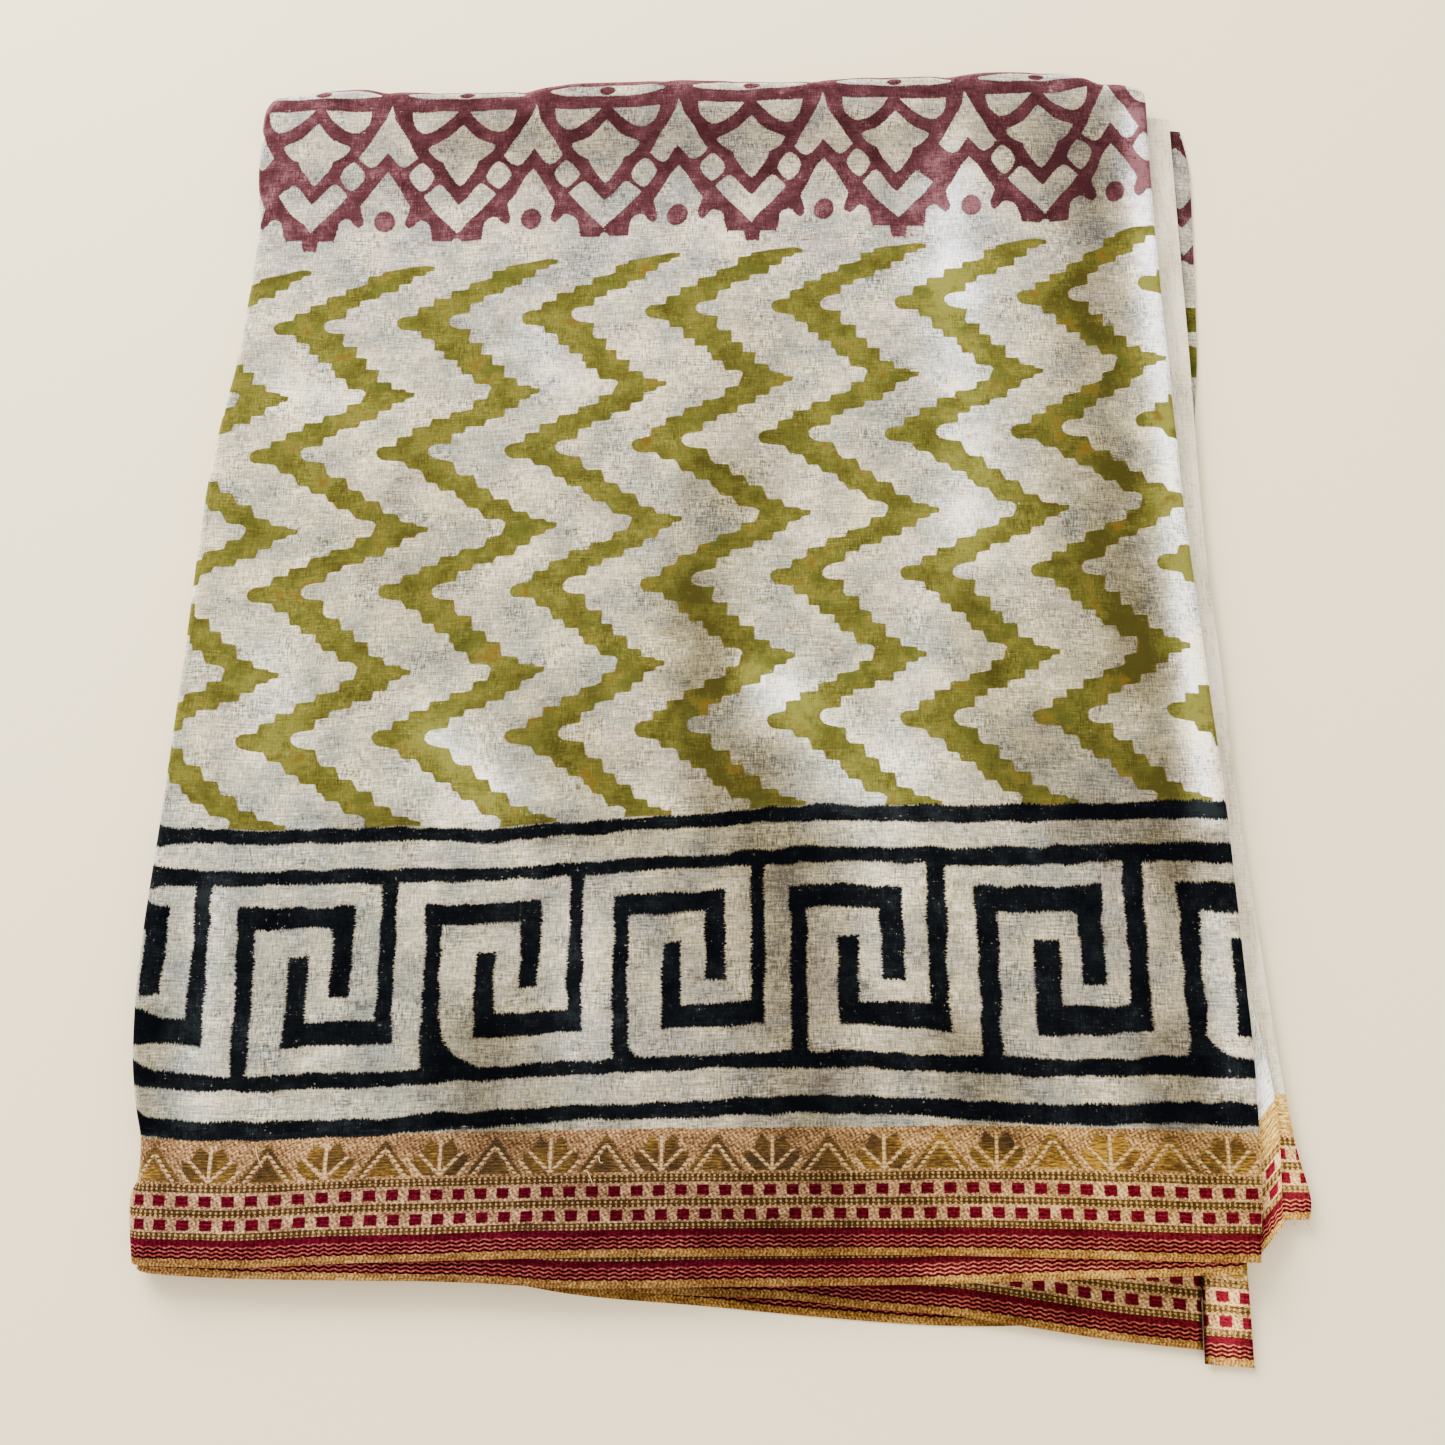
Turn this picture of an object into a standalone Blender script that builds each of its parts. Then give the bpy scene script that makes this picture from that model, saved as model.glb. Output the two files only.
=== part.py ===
"""A cotton sarong with a woven border, folded into a flat stack that lies on a surface.

Metres, +Z up. The near edge, where both selvedges lie, faces -Y and the soft far fold faces +Y.
The origin is the middle of the stack's footprint, on the surface that it lies on.
"""
import math

import bmesh
import bpy

# Rounds of the search for a place whose two coordinates depend on each other
SETTLE = 3

# Cloth
WALL = 0.0012
CLEAR = 0.0003
BORDER_WIDTH = 0.054

# Heights of the middle of each wall
CROWN = 0.0203
SIDE_FALL = 0.0014
END_FALL = 0.0010
NEAR_FALL = 0.0015
NEAR_FALL_LENGTH = 0.040
FLOOR_LAYER = WALL / 2
SECOND_BORDER_STEP = 0.0019
SECOND_FOLD_HEIGHT = 0.0115
FLAP_HEIGHT = 0.0098
END_STRIP_HEIGHT = 0.0080
LOWER_LAYER_HEIGHT = 0.0024
SECOND_BORDER_SAG = 0.0016
THIRD_BORDER_EDGE_HEIGHT = 0.0025
THIRD_BORDER_DROOP_LENGTH = 0.045
TAIL_END_HEIGHT = 0.0020
TAIL_DROOP_POWER = 1.3
END_STRIP_DROOP = 0.0022
LOWER_LAYER_DROOP = 0.0014

# Folds
MIDDLE_X = -0.0083
MIDDLE_Y = 0.018
HALF_WIDTH = 0.238
HALF_DEPTH = 0.295
LEFT_ROLL = 0.014
LEFT_TUCK = 0.014
RIGHT_CURL = 0.0020
CURL_UNDER = math.radians(-60)
FAR_SHOULDER = 0.016
FAR_TURN = 0.0024
SHOULDER_ANGLE = math.radians(50)
TURN_END = math.radians(195)
UNDER_ROLL_SHARE = 0.30
CORNER_RADIUS = 0.012

# Hidden layers, set back from the folds of the top panel
LAYERS = 7
GROOVE = 0.0011
FLAP_CLEAR = 0.0005
NEAR_INSET = 0.0130
RIGHT_INSET = 0.0150
FAR_INSET = 0.0085
FAR_INSET_MIDDLE = 0.0035
MIDDLE_LEVELS = (0.27, 0.40)
LEFT_CLEAR = 0.0024
LEFT_ROUNDNESS = 0.97
CORE_CLEAR = 0.0012
CORE_CORNER_SHARE = 0.025
CORE_SIDE_STEPS = 13
EDGE_OF_LAYER = ((0.0, GROOVE), (0.22, 0.0), (0.78, 0.0))
CAP_RINGS = (0.08, 0.18, 0.30, 0.42)
FLAP_BACK = NEAR_INSET - FLAP_CLEAR
FLAP_INNER = RIGHT_INSET - FLAP_CLEAR

# The sides of the top panel: (y, left, right)
SIDES = (
    (-0.277, -0.2433, 0.2279),
    (-0.245, -0.2448, 0.2307),
    (-0.220, -0.2463, 0.2322),
    (-0.190, -0.2518, 0.2325),
    (-0.150, -0.2533, 0.2317),
    (-0.076, -0.2496, 0.2295),
    (0.000, -0.2463, 0.2257),
    (0.073, -0.2438, 0.2222),
    (0.116, -0.2395, 0.2212),
    (0.150, -0.2343, 0.2204),
    (0.221, -0.2301, 0.2197),
    (0.262, -0.2328, 0.2202),
    (0.300, -0.2323, 0.2207),
)

# The puckered far fold: (x, y)
FAR_EDGE = (
    (-0.2383, 0.3010),
    (-0.2083, 0.3035),
    (-0.1813, 0.3060),
    (-0.1663, 0.3044),
    (-0.0983, 0.3044),
    (-0.0763, 0.3092),
    (-0.0483, 0.3107),
    (0.0037, 0.3115),
    (0.0437, 0.3105),
    (0.0767, 0.3130),
    (0.1217, 0.3142),
    (0.1397, 0.3162),
    (0.1867, 0.3154),
    (0.1997, 0.3112),
    (0.2267, 0.3090),
)

# The near edges of the layers: (x, y)
NEAR_EDGE = (
    (-0.2533, -0.2755),
    (-0.1723, -0.2768),
    (-0.1183, -0.2760),
    (-0.0643, -0.2744),
    (0.0037, -0.2710),
    (0.0567, -0.2705),
    (0.1197, -0.2724),
    (0.1697, -0.2740),
    (0.2317, -0.2762),
)
SECOND_EDGE = (
    (-0.2533, -0.2780),
    (-0.2263, -0.2811),
    (-0.1733, -0.2831),
    (-0.0823, -0.2855),
    (-0.0413, -0.2883),
    (-0.0053, -0.2911),
    (0.0357, -0.2903),
    (0.1197, -0.2871),
    (0.1617, -0.2847),
    (0.2267, -0.2807),
)
THIRD_EDGE = (
    (-0.0783, -0.2840),
    (-0.0423, -0.2880),
    (-0.0053, -0.2930),
    (0.0507, -0.2962),
    (0.0997, -0.2982),
    (0.1437, -0.3046),
    (0.1807, -0.3082),
    (0.2057, -0.3109),
)
UNDER_EDGE = (
    (-0.2383, -0.2740),
    (-0.1183, -0.2790),
    (-0.0593, -0.2886),
    (-0.0053, -0.2932),
    (0.0507, -0.2982),
    (0.0997, -0.3012),
    (0.1417, -0.3000),
    (0.2317, -0.2850),
)

# The right edges of the layers below: (y, x)
SECOND_FOLD_EDGE = (
    (-0.270, 0.2402),
    (-0.226, 0.2419),
    (-0.190, 0.2387),
    (-0.150, 0.2317),
    (-0.076, 0.2287),
    (0.073, 0.2212),
    (0.282, 0.2192),
)
END_STRIP_EDGE = (
    (-0.259, 0.2532),
    (-0.250, 0.2546),
    (-0.228, 0.2504),
    (-0.194, 0.2467),
    (-0.146, 0.2433),
    (-0.076, 0.2388),
    (-0.008, 0.2367),
    (0.060, 0.2342),
    (0.156, 0.2350),
    (0.227, 0.2351),
    (0.294, 0.2353),
)
LOWER_LAYER_EDGE = (
    (-0.200, 0.2317),
    (0.060, 0.2327),
    (0.121, 0.2362),
    (0.158, 0.2402),
    (0.247, 0.2445),
    (0.268, 0.2447),
    (0.290, 0.2417),
)
UNDER_RIGHT = (
    (-0.290, 0.2257),
    (0.000, 0.2217),
    (0.300, 0.2177),
)

# Soft ridges and troughs of the top layer: (x from, y from, x to, y to, rise, half width)
CREASES = (
    (0.1977, 0.270, 0.1997, -0.010, -0.0012, 0.011),
    (0.2127, 0.250, 0.2157, -0.060, 0.0006, 0.010),
    (-0.2133, -0.180, -0.1943, 0.240, 0.0009, 0.020),
    (-0.0883, 0.285, -0.0683, 0.120, 0.0007, 0.018),
    (0.0617, 0.280, 0.0517, 0.100, -0.0006, 0.020),
    (-0.1483, -0.120, 0.1217, -0.085, 0.0006, 0.026),
    (0.0417, -0.262, 0.1517, -0.225, -0.0006, 0.020),
)

# The places of the pieces that fan out
THIRD_LEFT = -0.0763
THIRD_RIGHT = 0.2047
TAIL_LEFT = 0.2053
TAIL_TIP_LEFT = 0.2049
TAIL_WIDTH = 0.0190
TAIL_TIP_WIDTH = 0.0201
TAIL_END = -0.3162
TAIL_END_RISE = -0.0017
END_BORDER_TOP = -0.2050
END_BORDER_END = -0.2585
END_STRIP_FAR = 0.2930
SECOND_FOLD_NEAR = -0.2740
SECOND_FOLD_FAR = 0.2820
SECOND_FOLD_CURL = 0.0016
SECOND_FOLD_CURL_END = math.radians(-25)
SECOND_FOLD_SLANT = 1.1
SECOND_FOLD_SLANT_FADE = 6
LOWER_LAYER_NEAR = -0.180
LOWER_LAYER_FAR = 0.2890


def smooth(table, at):
    """The second column of a table at a value of its first, along a smooth curve."""
    last = len(table) - 1
    if at <= table[0][0]:
        return table[0][1]
    if at >= table[last][0]:
        return table[last][1]
    k = max(i for i in range(last) if table[i][0] <= at)
    before, start, stop, after = (table[min(max(i, 0), last)] for i in (k - 1, k, k + 1, k + 2))
    span = stop[0] - start[0]
    slope_in = (stop[1] - before[1]) / (stop[0] - before[0]) * span
    slope_out = (after[1] - start[1]) / (after[0] - start[0]) * span
    f = (at - start[0]) / span
    rise = stop[1] - start[1]
    curve = f * f * (3 - 2 * f)
    return (start[1] + rise * curve + slope_in * f * (1 - f) ** 2 - slope_out * f * f * (1 - f))


def left_side(y):
    return smooth([(row[0], row[1]) for row in SIDES], y)


def right_side(y):
    return smooth([(row[0], row[2]) for row in SIDES], y)


def mix(a, b, share):
    return a + (b - a) * share


def crease_height(x, y):
    """What the soft ridges and troughs add to the top layer at a place."""
    total = 0.0
    for x0, y0, x1, y1, rise, half_width in CREASES:
        run_x, run_y = x1 - x0, y1 - y0
        length = math.hypot(run_x, run_y)
        along = ((x - x0) * run_x + (y - y0) * run_y) / length ** 2
        away = abs((x - x0) * run_y - (y - y0) * run_x) / length
        fade = min(max(4 * along, 0), 1) * min(max(4 * (1 - along), 0), 1)
        total += rise * fade * math.exp(-((away / half_width) ** 2))
    return total


def top_height(x, y):
    """Height of the middle of the top layer's wall, before the far shoulder falls away."""
    across = (x - MIDDLE_X) / HALF_WIDTH
    along = (y - MIDDLE_Y) / HALF_DEPTH
    near = max(0.0, 1 - (y - smooth(NEAR_EDGE, x)) / NEAR_FALL_LENGTH)
    height = CROWN - SIDE_FALL * across ** 4 - END_FALL * along ** 4
    return height - NEAR_FALL * near ** 2 + crease_height(x, y)


def across_path(station, y, step=0.0):
    """Place, inward direction and far roll share on the path that runs over the stack.

    Stations 0 to 1 are the right curl, 1 to 2 the top, 2 to 3 the left roll and 3 to 4 the tuck
    below. The step moves the path inwards, for a layer that lies inside the outer one.
    """
    left, right = left_side(y) + step, right_side(y) - step
    if station <= 1:
        angle = mix(CURL_UNDER, math.pi / 2, station)
        x = right - RIGHT_CURL * (1 - math.cos(angle))
        z = top_height(right - RIGHT_CURL, y) - step - RIGHT_CURL * (1 - math.sin(angle))
        return x, z, 0.0, -1.0, 1.0
    crest = left + LEFT_ROLL
    if station <= 2:
        x = mix(right - RIGHT_CURL, crest, station - 1)
        return x, top_height(x, y) - step, 0.0, -1.0, 1.0
    top, bottom = top_height(crest, y) - step, FLOOR_LAYER + step
    if station <= 3:
        angle = mix(math.pi / 2, 3 * math.pi / 2, station - 2)
        x = crest + LEFT_ROLL * math.cos(angle)
        z = mix(bottom, top, (1 + math.sin(angle)) / 2)
        share = mix(1.0, UNDER_ROLL_SHARE, station - 2)
        return x, z, -math.cos(angle), -math.sin(angle), share
    return crest + LEFT_TUCK * (station - 3), bottom, 0.0, 1.0, UNDER_ROLL_SHARE


def far_section(station):
    """Distance from the far edge and inward fall: 0 to 1 is the shoulder, 1 to 2 the turn under."""
    turn_start = FAR_TURN * (1 - math.sin(SHOULDER_ANGLE))
    shoulder_run = FAR_SHOULDER * math.sin(SHOULDER_ANGLE)
    if station <= 1:
        angle = SHOULDER_ANGLE * station
        back = turn_start + shoulder_run - FAR_SHOULDER * math.sin(angle)
        return back, FAR_SHOULDER * (1 - math.cos(angle))
    angle = mix(SHOULDER_ANGLE, TURN_END, station - 1)
    fall = FAR_SHOULDER * (1 - math.cos(SHOULDER_ANGLE))
    return FAR_TURN * (1 - math.sin(angle)), fall + FAR_TURN * (math.cos(SHOULDER_ANGLE) - math.cos(angle))


def round_corner(x, y):
    """Eases a place in the far right corner onto a round corner."""
    centre_x, centre_y = right_side(y) - CORNER_RADIUS, smooth(FAR_EDGE, x) - CORNER_RADIUS
    p, q = (x - centre_x) / CORNER_RADIUS, (y - centre_y) / CORNER_RADIUS
    if p <= 0 or q <= 0:
        return x, y
    p, q = min(p, 1.0), min(q, 1.0)
    x = centre_x + CORNER_RADIUS * p * math.sqrt(1 - q * q / 2)
    return x, centre_y + CORNER_RADIUS * q * math.sqrt(1 - p * p / 2)


def panel_point(across, along):
    """A place on the outer layer. Along 0 to 1 is the flat run from the seam, 1 to 3 the far edge."""
    back, fall = far_section(max(along - 1, 0.0))
    x = across_path(across, 0.0)[0]
    for _ in range(SETTLE):
        y = smooth(FAR_EDGE, x) - back
        if along < 1:
            y = mix(seam(x), y, along)
        x = across_path(across, y)[0]
    x, z, inward_x, inward_z, share = across_path(across, y)
    fall *= share
    if across < 1:
        flat = top_height(right_side(y) - RIGHT_CURL, y)
        return (*round_corner(x, y), flat - ((flat - z) ** 3 + fall ** 3) ** (1 / 3))
    return (*round_corner(x + inward_x * fall, y), z + inward_z * fall)


def seam(x):
    """Where the border ends and the printed field begins."""
    return smooth(NEAR_EDGE, x) + BORDER_WIDTH


def stations(*runs):
    """Stations along a path: each run is (from, to, steps)."""
    found = [runs[0][0]]
    for start, stop, steps in runs:
        found += [mix(start, stop, (k + 1) / steps) for k in range(steps)]
    return found


PANEL_ACROSS = stations((0, 1, 5), (1, 2, 19), (2, 3, 8), (3, 4, 1))
PANEL_ALONG = stations((0, 1, 15), (1, 2, 4), (2, 3, 5))
UNDER_ACROSS = stations((0, 1, 12))


def make_material(name, color, roughness):
    material = bpy.data.materials.new(name)
    material.use_nodes = True
    shader = material.node_tree.nodes["Principled BSDF"]
    shader.inputs["Base Color"].default_value = (*color, 1.0)
    shader.inputs["Roughness"].default_value = roughness
    shader.inputs["Metallic"].default_value = 0.0
    return material


def make_object(name, mesh, material, collection):
    mesh.materials.append(material)
    mesh.shade_smooth()
    obj = bpy.data.objects.new(name, mesh)
    collection.objects.link(obj)
    return obj


def make_wall(name, across, along, place, material, collection):
    """A grid laid through place(across, along) and given the cloth's wall."""
    mesh = bpy.data.meshes.new(name)
    bm = bmesh.new()
    bmesh.ops.create_grid(bm, x_segments=len(across) - 1, y_segments=len(along) - 1, size=0.5)
    for vert in bm.verts:
        column = round((vert.co.x + 0.5) * (len(across) - 1))
        row = round((vert.co.y + 0.5) * (len(along) - 1))
        vert.co = place(across[column], along[row])
    bm.to_mesh(mesh)
    bm.free()
    wall = make_object(name, mesh, material, collection)
    solidify = wall.modifiers.new("Cloth wall", "SOLIDIFY")
    solidify.thickness = WALL
    solidify.offset = 0.0
    return wall


def make_top_panel(material, collection):
    make_wall("top_panel", PANEL_ACROSS, PANEL_ALONG, panel_point, material, collection)


def make_top_border(material, collection):
    def place(across, along):
        x = across_path(across, smooth(NEAR_EDGE, 0.0))[0]
        for _ in range(SETTLE):
            y = mix(smooth(NEAR_EDGE, x), seam(x) - CLEAR, along)
            x = across_path(across, y)[0]
        x, z, *_ = across_path(across, y)
        return x, y, z

    make_wall("top_border", PANEL_ACROSS, stations((0, 1, 4)), place, material, collection)


def make_second_border(material, collection):
    """The border just inside the top one, a little proud of it along the near edge."""
    def place(across, along):
        x = across_path(across, smooth(SECOND_EDGE, 0.0), SECOND_BORDER_STEP)[0]
        for _ in range(SETTLE):
            y = mix(smooth(SECOND_EDGE, x), smooth(NEAR_EDGE, x) + FLAP_BACK, along)
            x = across_path(across, y, SECOND_BORDER_STEP)[0]
        x, z, inward_x, inward_z, _ = across_path(across, y, SECOND_BORDER_STEP)
        sag = SECOND_BORDER_SAG * (1 - along) ** 2 * min(1.0, max(0.0, 3 - across))
        return x + inward_x * sag, y, z + inward_z * sag

    columns = stations((1.006, 2, 17), (2, 3, 7), (3, 3.5, 1))
    make_wall("second_border", columns, stations((0, 1, 3)), place, material, collection)


def make_second_fold(material, collection):
    """The right fold of the next layer down, which shows at the near right corner."""
    def place(across, along):
        y = mix(SECOND_FOLD_NEAR, SECOND_FOLD_FAR, along)
        edge = smooth(SECOND_FOLD_EDGE, y)
        inner = right_side(y) - FLAP_INNER
        if across <= 1:
            x, z = mix(inner, edge - SECOND_FOLD_CURL, across), SECOND_FOLD_HEIGHT
        else:
            angle = mix(math.pi / 2, SECOND_FOLD_CURL_END, across - 1)
            x = edge - SECOND_FOLD_CURL * (1 - math.cos(angle))
            z = SECOND_FOLD_HEIGHT - SECOND_FOLD_CURL * (1 - math.sin(angle))
        proud = max(0.0, x - right_side(SECOND_FOLD_NEAR)) * (1 - along) ** SECOND_FOLD_SLANT_FADE
        return x, y + SECOND_FOLD_SLANT * proud, z

    columns = stations((0, 1, 2), (1, 2, 5))
    make_wall("second_fold", columns, stations((0, 1, 18)), place, material, collection)


def make_third_border(material, collection):
    """A lower border that fans out from under the second and droops to the surface."""
    def place(across, along):
        x = mix(THIRD_LEFT, THIRD_RIGHT, across)
        back = smooth(NEAR_EDGE, x) + FLAP_BACK
        y = mix(smooth(THIRD_EDGE, x), back, along)
        droop = min(1.0, (back - y) / THIRD_BORDER_DROOP_LENGTH)
        return x, y, mix(FLAP_HEIGHT, THIRD_BORDER_EDGE_HEIGHT, droop)

    make_wall("third_border", stations((0, 1, 14)), stations((0, 1, 5)), place, material, collection)


def make_tail_strip(material, collection):
    """The hemmed end of a border strip beside the fanned one."""
    def place(across, along):
        x = mix(TAIL_TIP_LEFT, TAIL_LEFT, along) + mix(TAIL_TIP_WIDTH, TAIL_WIDTH, along) * across
        y = mix(TAIL_END + TAIL_END_RISE * across, smooth(NEAR_EDGE, x) + FLAP_BACK, along)
        return x, y, mix(FLAP_HEIGHT, TAIL_END_HEIGHT, (1 - along) ** TAIL_DROOP_POWER)

    make_wall("tail_strip", stations((0, 1, 3)), stations((0, 1, 6)), place, material, collection)


def end_strip_point(across, y):
    x = mix(right_side(y) - FLAP_INNER, smooth(END_STRIP_EDGE, y), across)
    return x, y, END_STRIP_HEIGHT - END_STRIP_DROOP * across ** 2


def make_end_strip(material, collection):
    """The unprinted cut end of the cloth, out past the folds above it."""
    def place(across, along):
        return end_strip_point(across, mix(END_BORDER_TOP, END_STRIP_FAR, along))

    make_wall("end_strip", stations((0, 1, 3)), stations((0, 1, 18)), place, material, collection)


def make_end_border(material, collection):
    def place(across, along):
        return end_strip_point(across, mix(END_BORDER_END, END_BORDER_TOP - CLEAR, along))

    make_wall("end_border", stations((0, 1, 3)), stations((0, 1, 4)), place, material, collection)


def make_lower_layer(material, collection):
    """A printed layer near the surface, which shows past the cut end at the far right."""
    def place(across, along):
        y = mix(LOWER_LAYER_NEAR, LOWER_LAYER_FAR, along)
        x = mix(right_side(y) - FLAP_INNER, smooth(LOWER_LAYER_EDGE, y), across)
        return x, y, LOWER_LAYER_HEIGHT - LOWER_LAYER_DROOP * across ** 4

    make_wall("lower_layer", stations((0, 1, 3)), stations((0, 1, 14)), place, material, collection)


def under_left(y):
    return left_side(y) + LEFT_ROLL + LEFT_TUCK + CLEAR


def make_under_panel(material, collection):
    """The lowest layer, flat on the surface, its far fold turned in like the one above."""
    def place(across, along):
        back, fall = far_section(max(along - 1, 0.0))
        x = mix(left_side(0.0), right_side(0.0), across)
        for _ in range(SETTLE):
            y = smooth(FAR_EDGE, x) - back
            if along < 1:
                y = mix(seam(x), y, along)
            x = mix(under_left(y), smooth(UNDER_RIGHT, y), across)
        return x, y, FLOOR_LAYER + fall * UNDER_ROLL_SHARE

    make_wall("under_panel", UNDER_ACROSS, PANEL_ALONG, place, material, collection)


def make_under_border(material, collection):
    def place(across, along):
        x = mix(left_side(0.0), right_side(0.0), across)
        for _ in range(SETTLE):
            y = mix(smooth(UNDER_EDGE, x), seam(x) - CLEAR, along)
            x = mix(under_left(y), smooth(UNDER_RIGHT, y), across)
        return x, y, FLOOR_LAYER

    make_wall("under_border", UNDER_ACROSS, stations((0, 1, 2)), place, material, collection)


def core_top(x, y):
    """Highest level that the hidden layers may reach below the top layer."""
    back = smooth(FAR_EDGE, x) - y
    run = FAR_SHOULDER * math.sin(SHOULDER_ANGLE) + FAR_TURN * (1 - math.sin(SHOULDER_ANGLE)) - back
    fall = FAR_SHOULDER - math.sqrt(FAR_SHOULDER ** 2 - min(max(run, 0.0), FAR_SHOULDER) ** 2)
    return top_height(x, y) - fall - WALL / 2 - CORE_CLEAR


def core_ring(level, groove, shrink=0.0):
    """One outline of the hidden layers at a share of their height, from 0 below to 1 on top."""
    far = FAR_INSET_MIDDLE if MIDDLE_LEVELS[0] < level < MIDDLE_LEVELS[1] else FAR_INSET
    roundness = math.sqrt(1 - (LEFT_ROUNDNESS * (2 * level - 1)) ** 2)
    left = LEFT_ROLL * (1 - roundness) + LEFT_CLEAR + groove
    points = []
    for k in range(4 * CORE_SIDE_STEPS):
        side, step = divmod(k, CORE_SIDE_STEPS)
        share = step / CORE_SIDE_STEPS
        p, q = ((share, 0.0), (1.0, share), (1 - share, 1.0), (0.0, 1 - share))[side]
        inset = max(shrink, CORE_CORNER_SHARE) if step == 0 else shrink
        p, q = mix(inset, 1 - inset, p), mix(inset, 1 - inset, q)
        x = mix(left_side(0.0), right_side(0.0), p)
        for _ in range(SETTLE):
            near = smooth(NEAR_EDGE, x) + NEAR_INSET + groove
            y = mix(near, smooth(FAR_EDGE, x) - far - groove, q)
            x = mix(left_side(y) + left, right_side(y) - RIGHT_INSET - groove, p)
        points.append((x, y, mix(WALL + CLEAR, core_top(x, y), level)))
    return points


def make_hidden_layers(material, collection):
    """The layers between, as one solid whose sides are rounded like a stack of folded edges."""
    rings = []
    for layer in range(LAYERS):
        for share, groove in EDGE_OF_LAYER:
            rings.append(core_ring((layer + share) / LAYERS, groove))
    rings.append(core_ring(1.0, GROOVE))
    rings += [core_ring(1.0, GROOVE, shrink) for shrink in CAP_RINGS]
    mesh = bpy.data.meshes.new("hidden_layers")
    bm = bmesh.new()
    loops = [[bm.verts.new(point) for point in ring] for ring in rings]
    for lower, upper in zip(loops, loops[1:]):
        for k in range(len(lower)):
            n = (k + 1) % len(lower)
            bm.faces.new((lower[k], lower[n], upper[n], upper[k]))
    bm.faces.new(loops[0][::-1])
    bm.faces.new(loops[-1])
    bm.to_mesh(mesh)
    bm.free()
    make_object("hidden_layers", mesh, material, collection)


def build():
    for obj in list(bpy.data.objects):
        bpy.data.objects.remove(obj, do_unlink=True)
    collection = bpy.data.collections.new("folded_sarong")
    bpy.context.scene.collection.children.link(collection)
    printed = make_material("printed cotton", (0.72, 0.70, 0.63), 0.85)
    woven = make_material("woven border", (0.58, 0.40, 0.24), 0.60)
    plain = make_material("plain cotton", (0.78, 0.74, 0.66), 0.85)
    inner = make_material("inner layers", (0.62, 0.60, 0.55), 0.90)
    make_top_panel(printed, collection)
    make_top_border(woven, collection)
    make_second_border(woven, collection)
    make_second_fold(printed, collection)
    make_third_border(woven, collection)
    make_tail_strip(woven, collection)
    make_end_strip(plain, collection)
    make_end_border(woven, collection)
    make_lower_layer(printed, collection)
    make_under_panel(printed, collection)
    make_under_border(woven, collection)
    make_hidden_layers(inner, collection)


build()
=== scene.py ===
"""The finish of a folded cotton sarong: block prints, a woven border, creases and soft light."""
import math

import bpy
import numpy as np
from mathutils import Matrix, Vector


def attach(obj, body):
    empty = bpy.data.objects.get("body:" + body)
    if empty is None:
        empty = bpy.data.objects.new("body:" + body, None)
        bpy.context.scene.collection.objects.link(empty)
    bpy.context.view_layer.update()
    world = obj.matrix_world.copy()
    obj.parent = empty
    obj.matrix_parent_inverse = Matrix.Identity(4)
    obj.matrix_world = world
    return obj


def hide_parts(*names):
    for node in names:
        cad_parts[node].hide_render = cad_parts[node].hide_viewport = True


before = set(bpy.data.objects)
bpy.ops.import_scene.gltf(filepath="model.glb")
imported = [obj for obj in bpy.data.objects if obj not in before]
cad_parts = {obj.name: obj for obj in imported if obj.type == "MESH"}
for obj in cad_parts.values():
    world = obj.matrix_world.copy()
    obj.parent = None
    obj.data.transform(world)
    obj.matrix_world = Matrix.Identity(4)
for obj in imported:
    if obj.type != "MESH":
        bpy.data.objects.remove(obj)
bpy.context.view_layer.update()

MM = 0.001

# Camera, at the height and tilt that the folded cloth is seen from
CAMERA_PLACE = (0.0037, -0.2946, 0.8017)
CAMERA_TILT = math.radians(18)
CAMERA_LENS = 45
CAMERA_FILM = 36

# Room
FLOOR_SIZE = 8.0
FLOOR_PLACE = (0.0, 0.0, -0.0004)
ROOM_TINT = (1.0, 0.905, 0.76, 1.0)
ROOM_STRENGTH = 1.7
WINDOW_PLACE = (-0.75, 1.0, 1.15)
WINDOW_SIZE = 1.0
WINDOW_POWER = 59.0
WINDOW_TINT = (1.0, 0.90, 0.76)

# Cloth: the wall of the solids, the thickness of the sheets, and the cloth's sizes
WALL = 0.0012
THREAD = 0.0004
BORDER_WIDTH = 0.054
CLOTH_WIDTH = 1.154
THREAD_RADIUS = 0.00021
THREAD_STEPS = 6
THREAD_ROUNDNESS = 2

# Heights of the middle of each layer
CROWN = 0.0203
SIDE_FALL = 0.0014
END_FALL = 0.0010
NEAR_FALL = 0.0015
NEAR_FALL_LENGTH = 0.040
FLOOR_LAYER = WALL / 2
SECOND_BORDER_STEP = 0.0019
SECOND_FOLD_HEIGHT = 0.0115
FLAP_HEIGHT = 0.0098
END_STRIP_HEIGHT = 0.0080
LOWER_LAYER_HEIGHT = 0.0024
SECOND_BORDER_SAG = 0.0016
SECOND_BORDER_OUT = 0.0022
THIRD_BORDER_EDGE_HEIGHT = 0.0025
THIRD_BORDER_DROOP_LENGTH = 0.045
TAIL_END_HEIGHT = 0.0020
TAIL_DROOP_POWER = 1.3
END_STRIP_DROOP = 0.0022
LOWER_LAYER_DROOP = 0.0014

# Folds
MIDDLE_X = -0.0083
MIDDLE_Y = 0.018
HALF_WIDTH = 0.238
HALF_DEPTH = 0.295
LEFT_ROLL = 0.014
LEFT_TUCK = 0.014
RIGHT_CURL = 0.0020
CURL_UNDER = math.radians(-60)
FAR_SHOULDER = 0.016
FAR_TURN = 0.0024
SHOULDER_ANGLE = math.radians(50)
TURN_END = math.radians(195)
UNDER_ROLL_SHARE = 0.30
CORNER_RADIUS = 0.012
SETTLE = 3
CURVE_STEPS = 800
SMOOTH_ANGLE = math.radians(40)
LAYER_SMOOTH_ANGLE = math.radians(50)

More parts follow.
